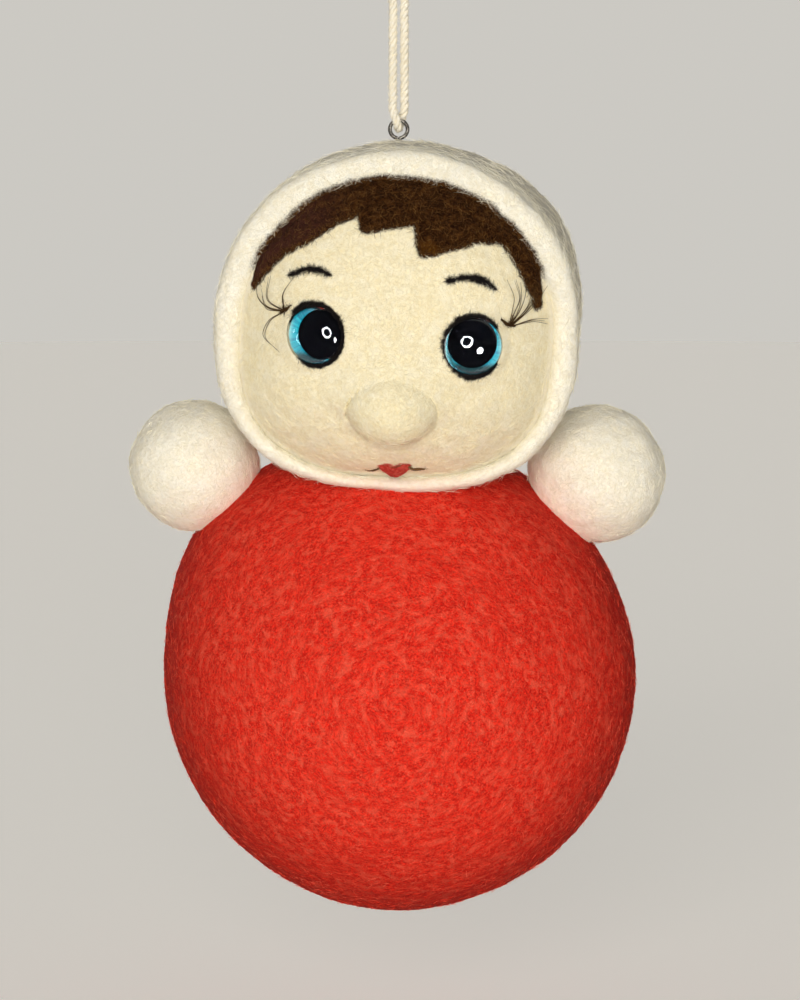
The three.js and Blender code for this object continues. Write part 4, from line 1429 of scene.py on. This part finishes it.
hand_wool = wool("hand_wool", "#f8f1dc", "#fff9e8", "#fffdf2", bump=0.12, sheen=0.04, tone=hand_tone)
for side, (radius, sink, towards) in hand_settings.items():
    hand_middle = body_middle + unit(np.array(towards)) * (body_radius + radius - sink)
    hand_form = moved(felted(ball_form(radius, 0.55 * mm), hand_lumps, 25), hand_middle)
    hand = add_piece(f"hand_felt_{side}", "doll", hand_wool, hand_form)
    cut(hand, body_tool, hood_tool)
    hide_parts(f"hand_{side}")
    fibres(
        f"hand_fuzz_{side}", "doll", white_fibre, hand, 2400, (1.2, 3.2), (0.03, 0.75), 0.028,
        seed=71, keep=off_middle(hand_middle),
    )

# Floor and light. A plain pale floor that rises far out into a round backdrop, and soft even light
# from the front and from behind. A ring lamp round the camera and a small lamp beside it show only
# as reflections in the glass eyes, before a black cloth.
floor_level = -182 * mm
floor_rings = [(0.001, 0), (0.3, 0), (1.9, 0)]
wall_profile = [(1.9, 0), (2.15, 0.03), (2.33, 0.13), (2.45, 0.31), (2.5, 0.55), (2.5, 3)]
stage_middle = (0, 0, floor_level)
stage_sides = 96
pale_paint = "#ebe8e1"
sun_colour = "#fffaf2"
suns = [
    ("key", (0.14, 1.4, -0.14), 34, 2.6),
    ("fill", (-0.5, 1.2, -0.06), 20, 0.45),
    ("back", (0.25, -1, -0.2), 50, 1.5),
]
lamp_strength = 60
ring_radii = (0.108, 0.165)
side_radii = (0.0005, 0.038)
side_place = (0.152, -0.25, -0.146)
cloth_middle = (0, -0.03, -0.06)
cloth_profile = [
    (0.001, 1.05), (0.45, 1), (0.8, 0.8), (0.85, 0.5), (0.55, 0.25), (0.25, 0.08), (0.115, 0.005),
]


def shown_rays(tree):
    """1 on the rays that show the backdrop: those to the camera, in gloss and through glass."""
    path = tree.nodes.new("ShaderNodeLightPath")
    names = "Is Camera Ray", "Is Glossy Ray", "Is Transmission Ray"
    camera_ray, glossy_ray, glass_ray = (Value(path.outputs[name]) for name in names)
    return camera_ray | glossy_ray | glass_ray


def add_stage(name, form, material):
    """A piece of the stage, which isn't part of the ornament."""
    mesh = new_mesh(name, form)
    mesh.materials.append(material)
    mesh.shade_smooth()
    thing = new_object(name, mesh)
    return thing


def lathed(profile, middle, turn=None):
    """Rings of points about an upright axis, or about a turned one, with the faces between them."""
    turns = 2 * math.pi * np.arange(stage_sides) / stage_sides
    points = [Vector((out * math.cos(t), out * math.sin(t), up)) for out, up in profile for t in turns]
    points = [Vector(middle) + (turn @ point if turn else point) for point in points]
    return points, ring_faces(len(profile), stage_sides)


def stage_paint(name, code, glow):
    """Matt paint with a pale glow on the shown rays, so that the floor and the wall are of one tone."""
    material, shader, place = new_material(name, {
        "Base Color": rgb(code), "Roughness": 0.9, "Specular IOR Level": 0, "Emission Color": rgb(pale_paint),
    })
    (shown_rays(place.tree) * glow).feeds(shader, "Emission Strength")
    return material


floor = add_stage("floor", lathed(floor_rings, stage_middle), stage_paint("floor_paint", pale_paint, 0.36))
floor.visible_shadow = False
wall_line = smooth_curve([(out, 0, up) for out, up in wall_profile], 0.05)[:, (0, 2)]
wall = add_stage("backdrop", lathed(wall_line, stage_middle), stage_paint("wall_paint", "#0c0c0c", 0.72))
wall.visible_diffuse = False
wall.visible_shadow = False

world = bpy.data.worlds.new("studio")
world.use_nodes = True
bpy.context.scene.world = world
tree = world.node_tree
ambient = tree.nodes["Background"]
ambient.inputs["Color"].default_value = rgb("#f2f2f4")
ambient.inputs["Strength"].default_value = 0.17
pale = Value.of(tree, "ShaderNodeBackground", inputs={"Color": rgb("#dcd8cf"), "Strength": 1.0})
skies = {0: shown_rays(tree), 1: Value(ambient.outputs[0]), 2: pale}
Value.of(tree, "ShaderNodeMixShader", inputs=skies).feeds(tree.nodes["World Output"], "Surface")


def soft_sun(name, towards, spread, power):
    """Even light from one side, as from a large lamp far away, seen spread over an angle in degrees."""
    data = bpy.data.lights.new(name, "SUN")
    data.angle = math.radians(spread)
    data.energy = power
    data.color = rgb(sun_colour)[:3]
    lamp = new_object(name, data)
    lamp.rotation_euler = Vector(towards).to_track_quat("-Z", "Y").to_euler()
    lamp.visible_camera = False
    lamp.visible_glossy = False
    lamp.visible_transmission = False


def lamp_glow():
    """The face of a lamp, that shows only in reflections: the suns give the light."""
    material = bpy.data.materials.new("lamp_glow")
    material.use_nodes = True
    tree = material.node_tree
    gloss = Value.of(tree, "ShaderNodeLightPath", output="Is Glossy Ray")
    sockets = {"Color": rgb("#ffffff"), "Strength": gloss * lamp_strength}
    Value.of(tree, "ShaderNodeEmission", inputs=sockets).feeds(tree.nodes["Material Output"], "Surface")
    return material


def disc_lamp(name, place, radii, material):
    """A flat round lamp, open in its middle, that faces the doll."""
    facing_doll = (view_middle - Vector(place)).to_track_quat("-Z", "Y")
    lamp = add_stage(name, lathed([(radius, 0) for radius in radii], place, facing_doll), material)
    lamp.visible_camera = False
    lamp.visible_shadow = False


for sun in suns:
    soft_sun(*sun)
lamp_face = lamp_glow()
disc_lamp("ring_lamp", camera.location, ring_radii, lamp_face)
disc_lamp("side_lamp", side_place, side_radii, lamp_face)
black_cloth = new_material("black_cloth", {"Base Color": rgb("#0a0a0a"), "Specular IOR Level": 0})[0]
cloth_points, cloth_faces = lathed(cloth_profile, cloth_middle, Vector((0, -1, 0)).to_track_quat("Z", "Y"))
for point in cloth_points:
    point.z = max(point.z, floor_level + 1 * mm)
cloth = add_stage("black_cloth", (cloth_points, cloth_faces), black_cloth)
cloth.visible_camera = False
cloth.visible_diffuse = False
cloth.visible_shadow = False
bpy.context.scene.view_settings.view_transform = "Standard"
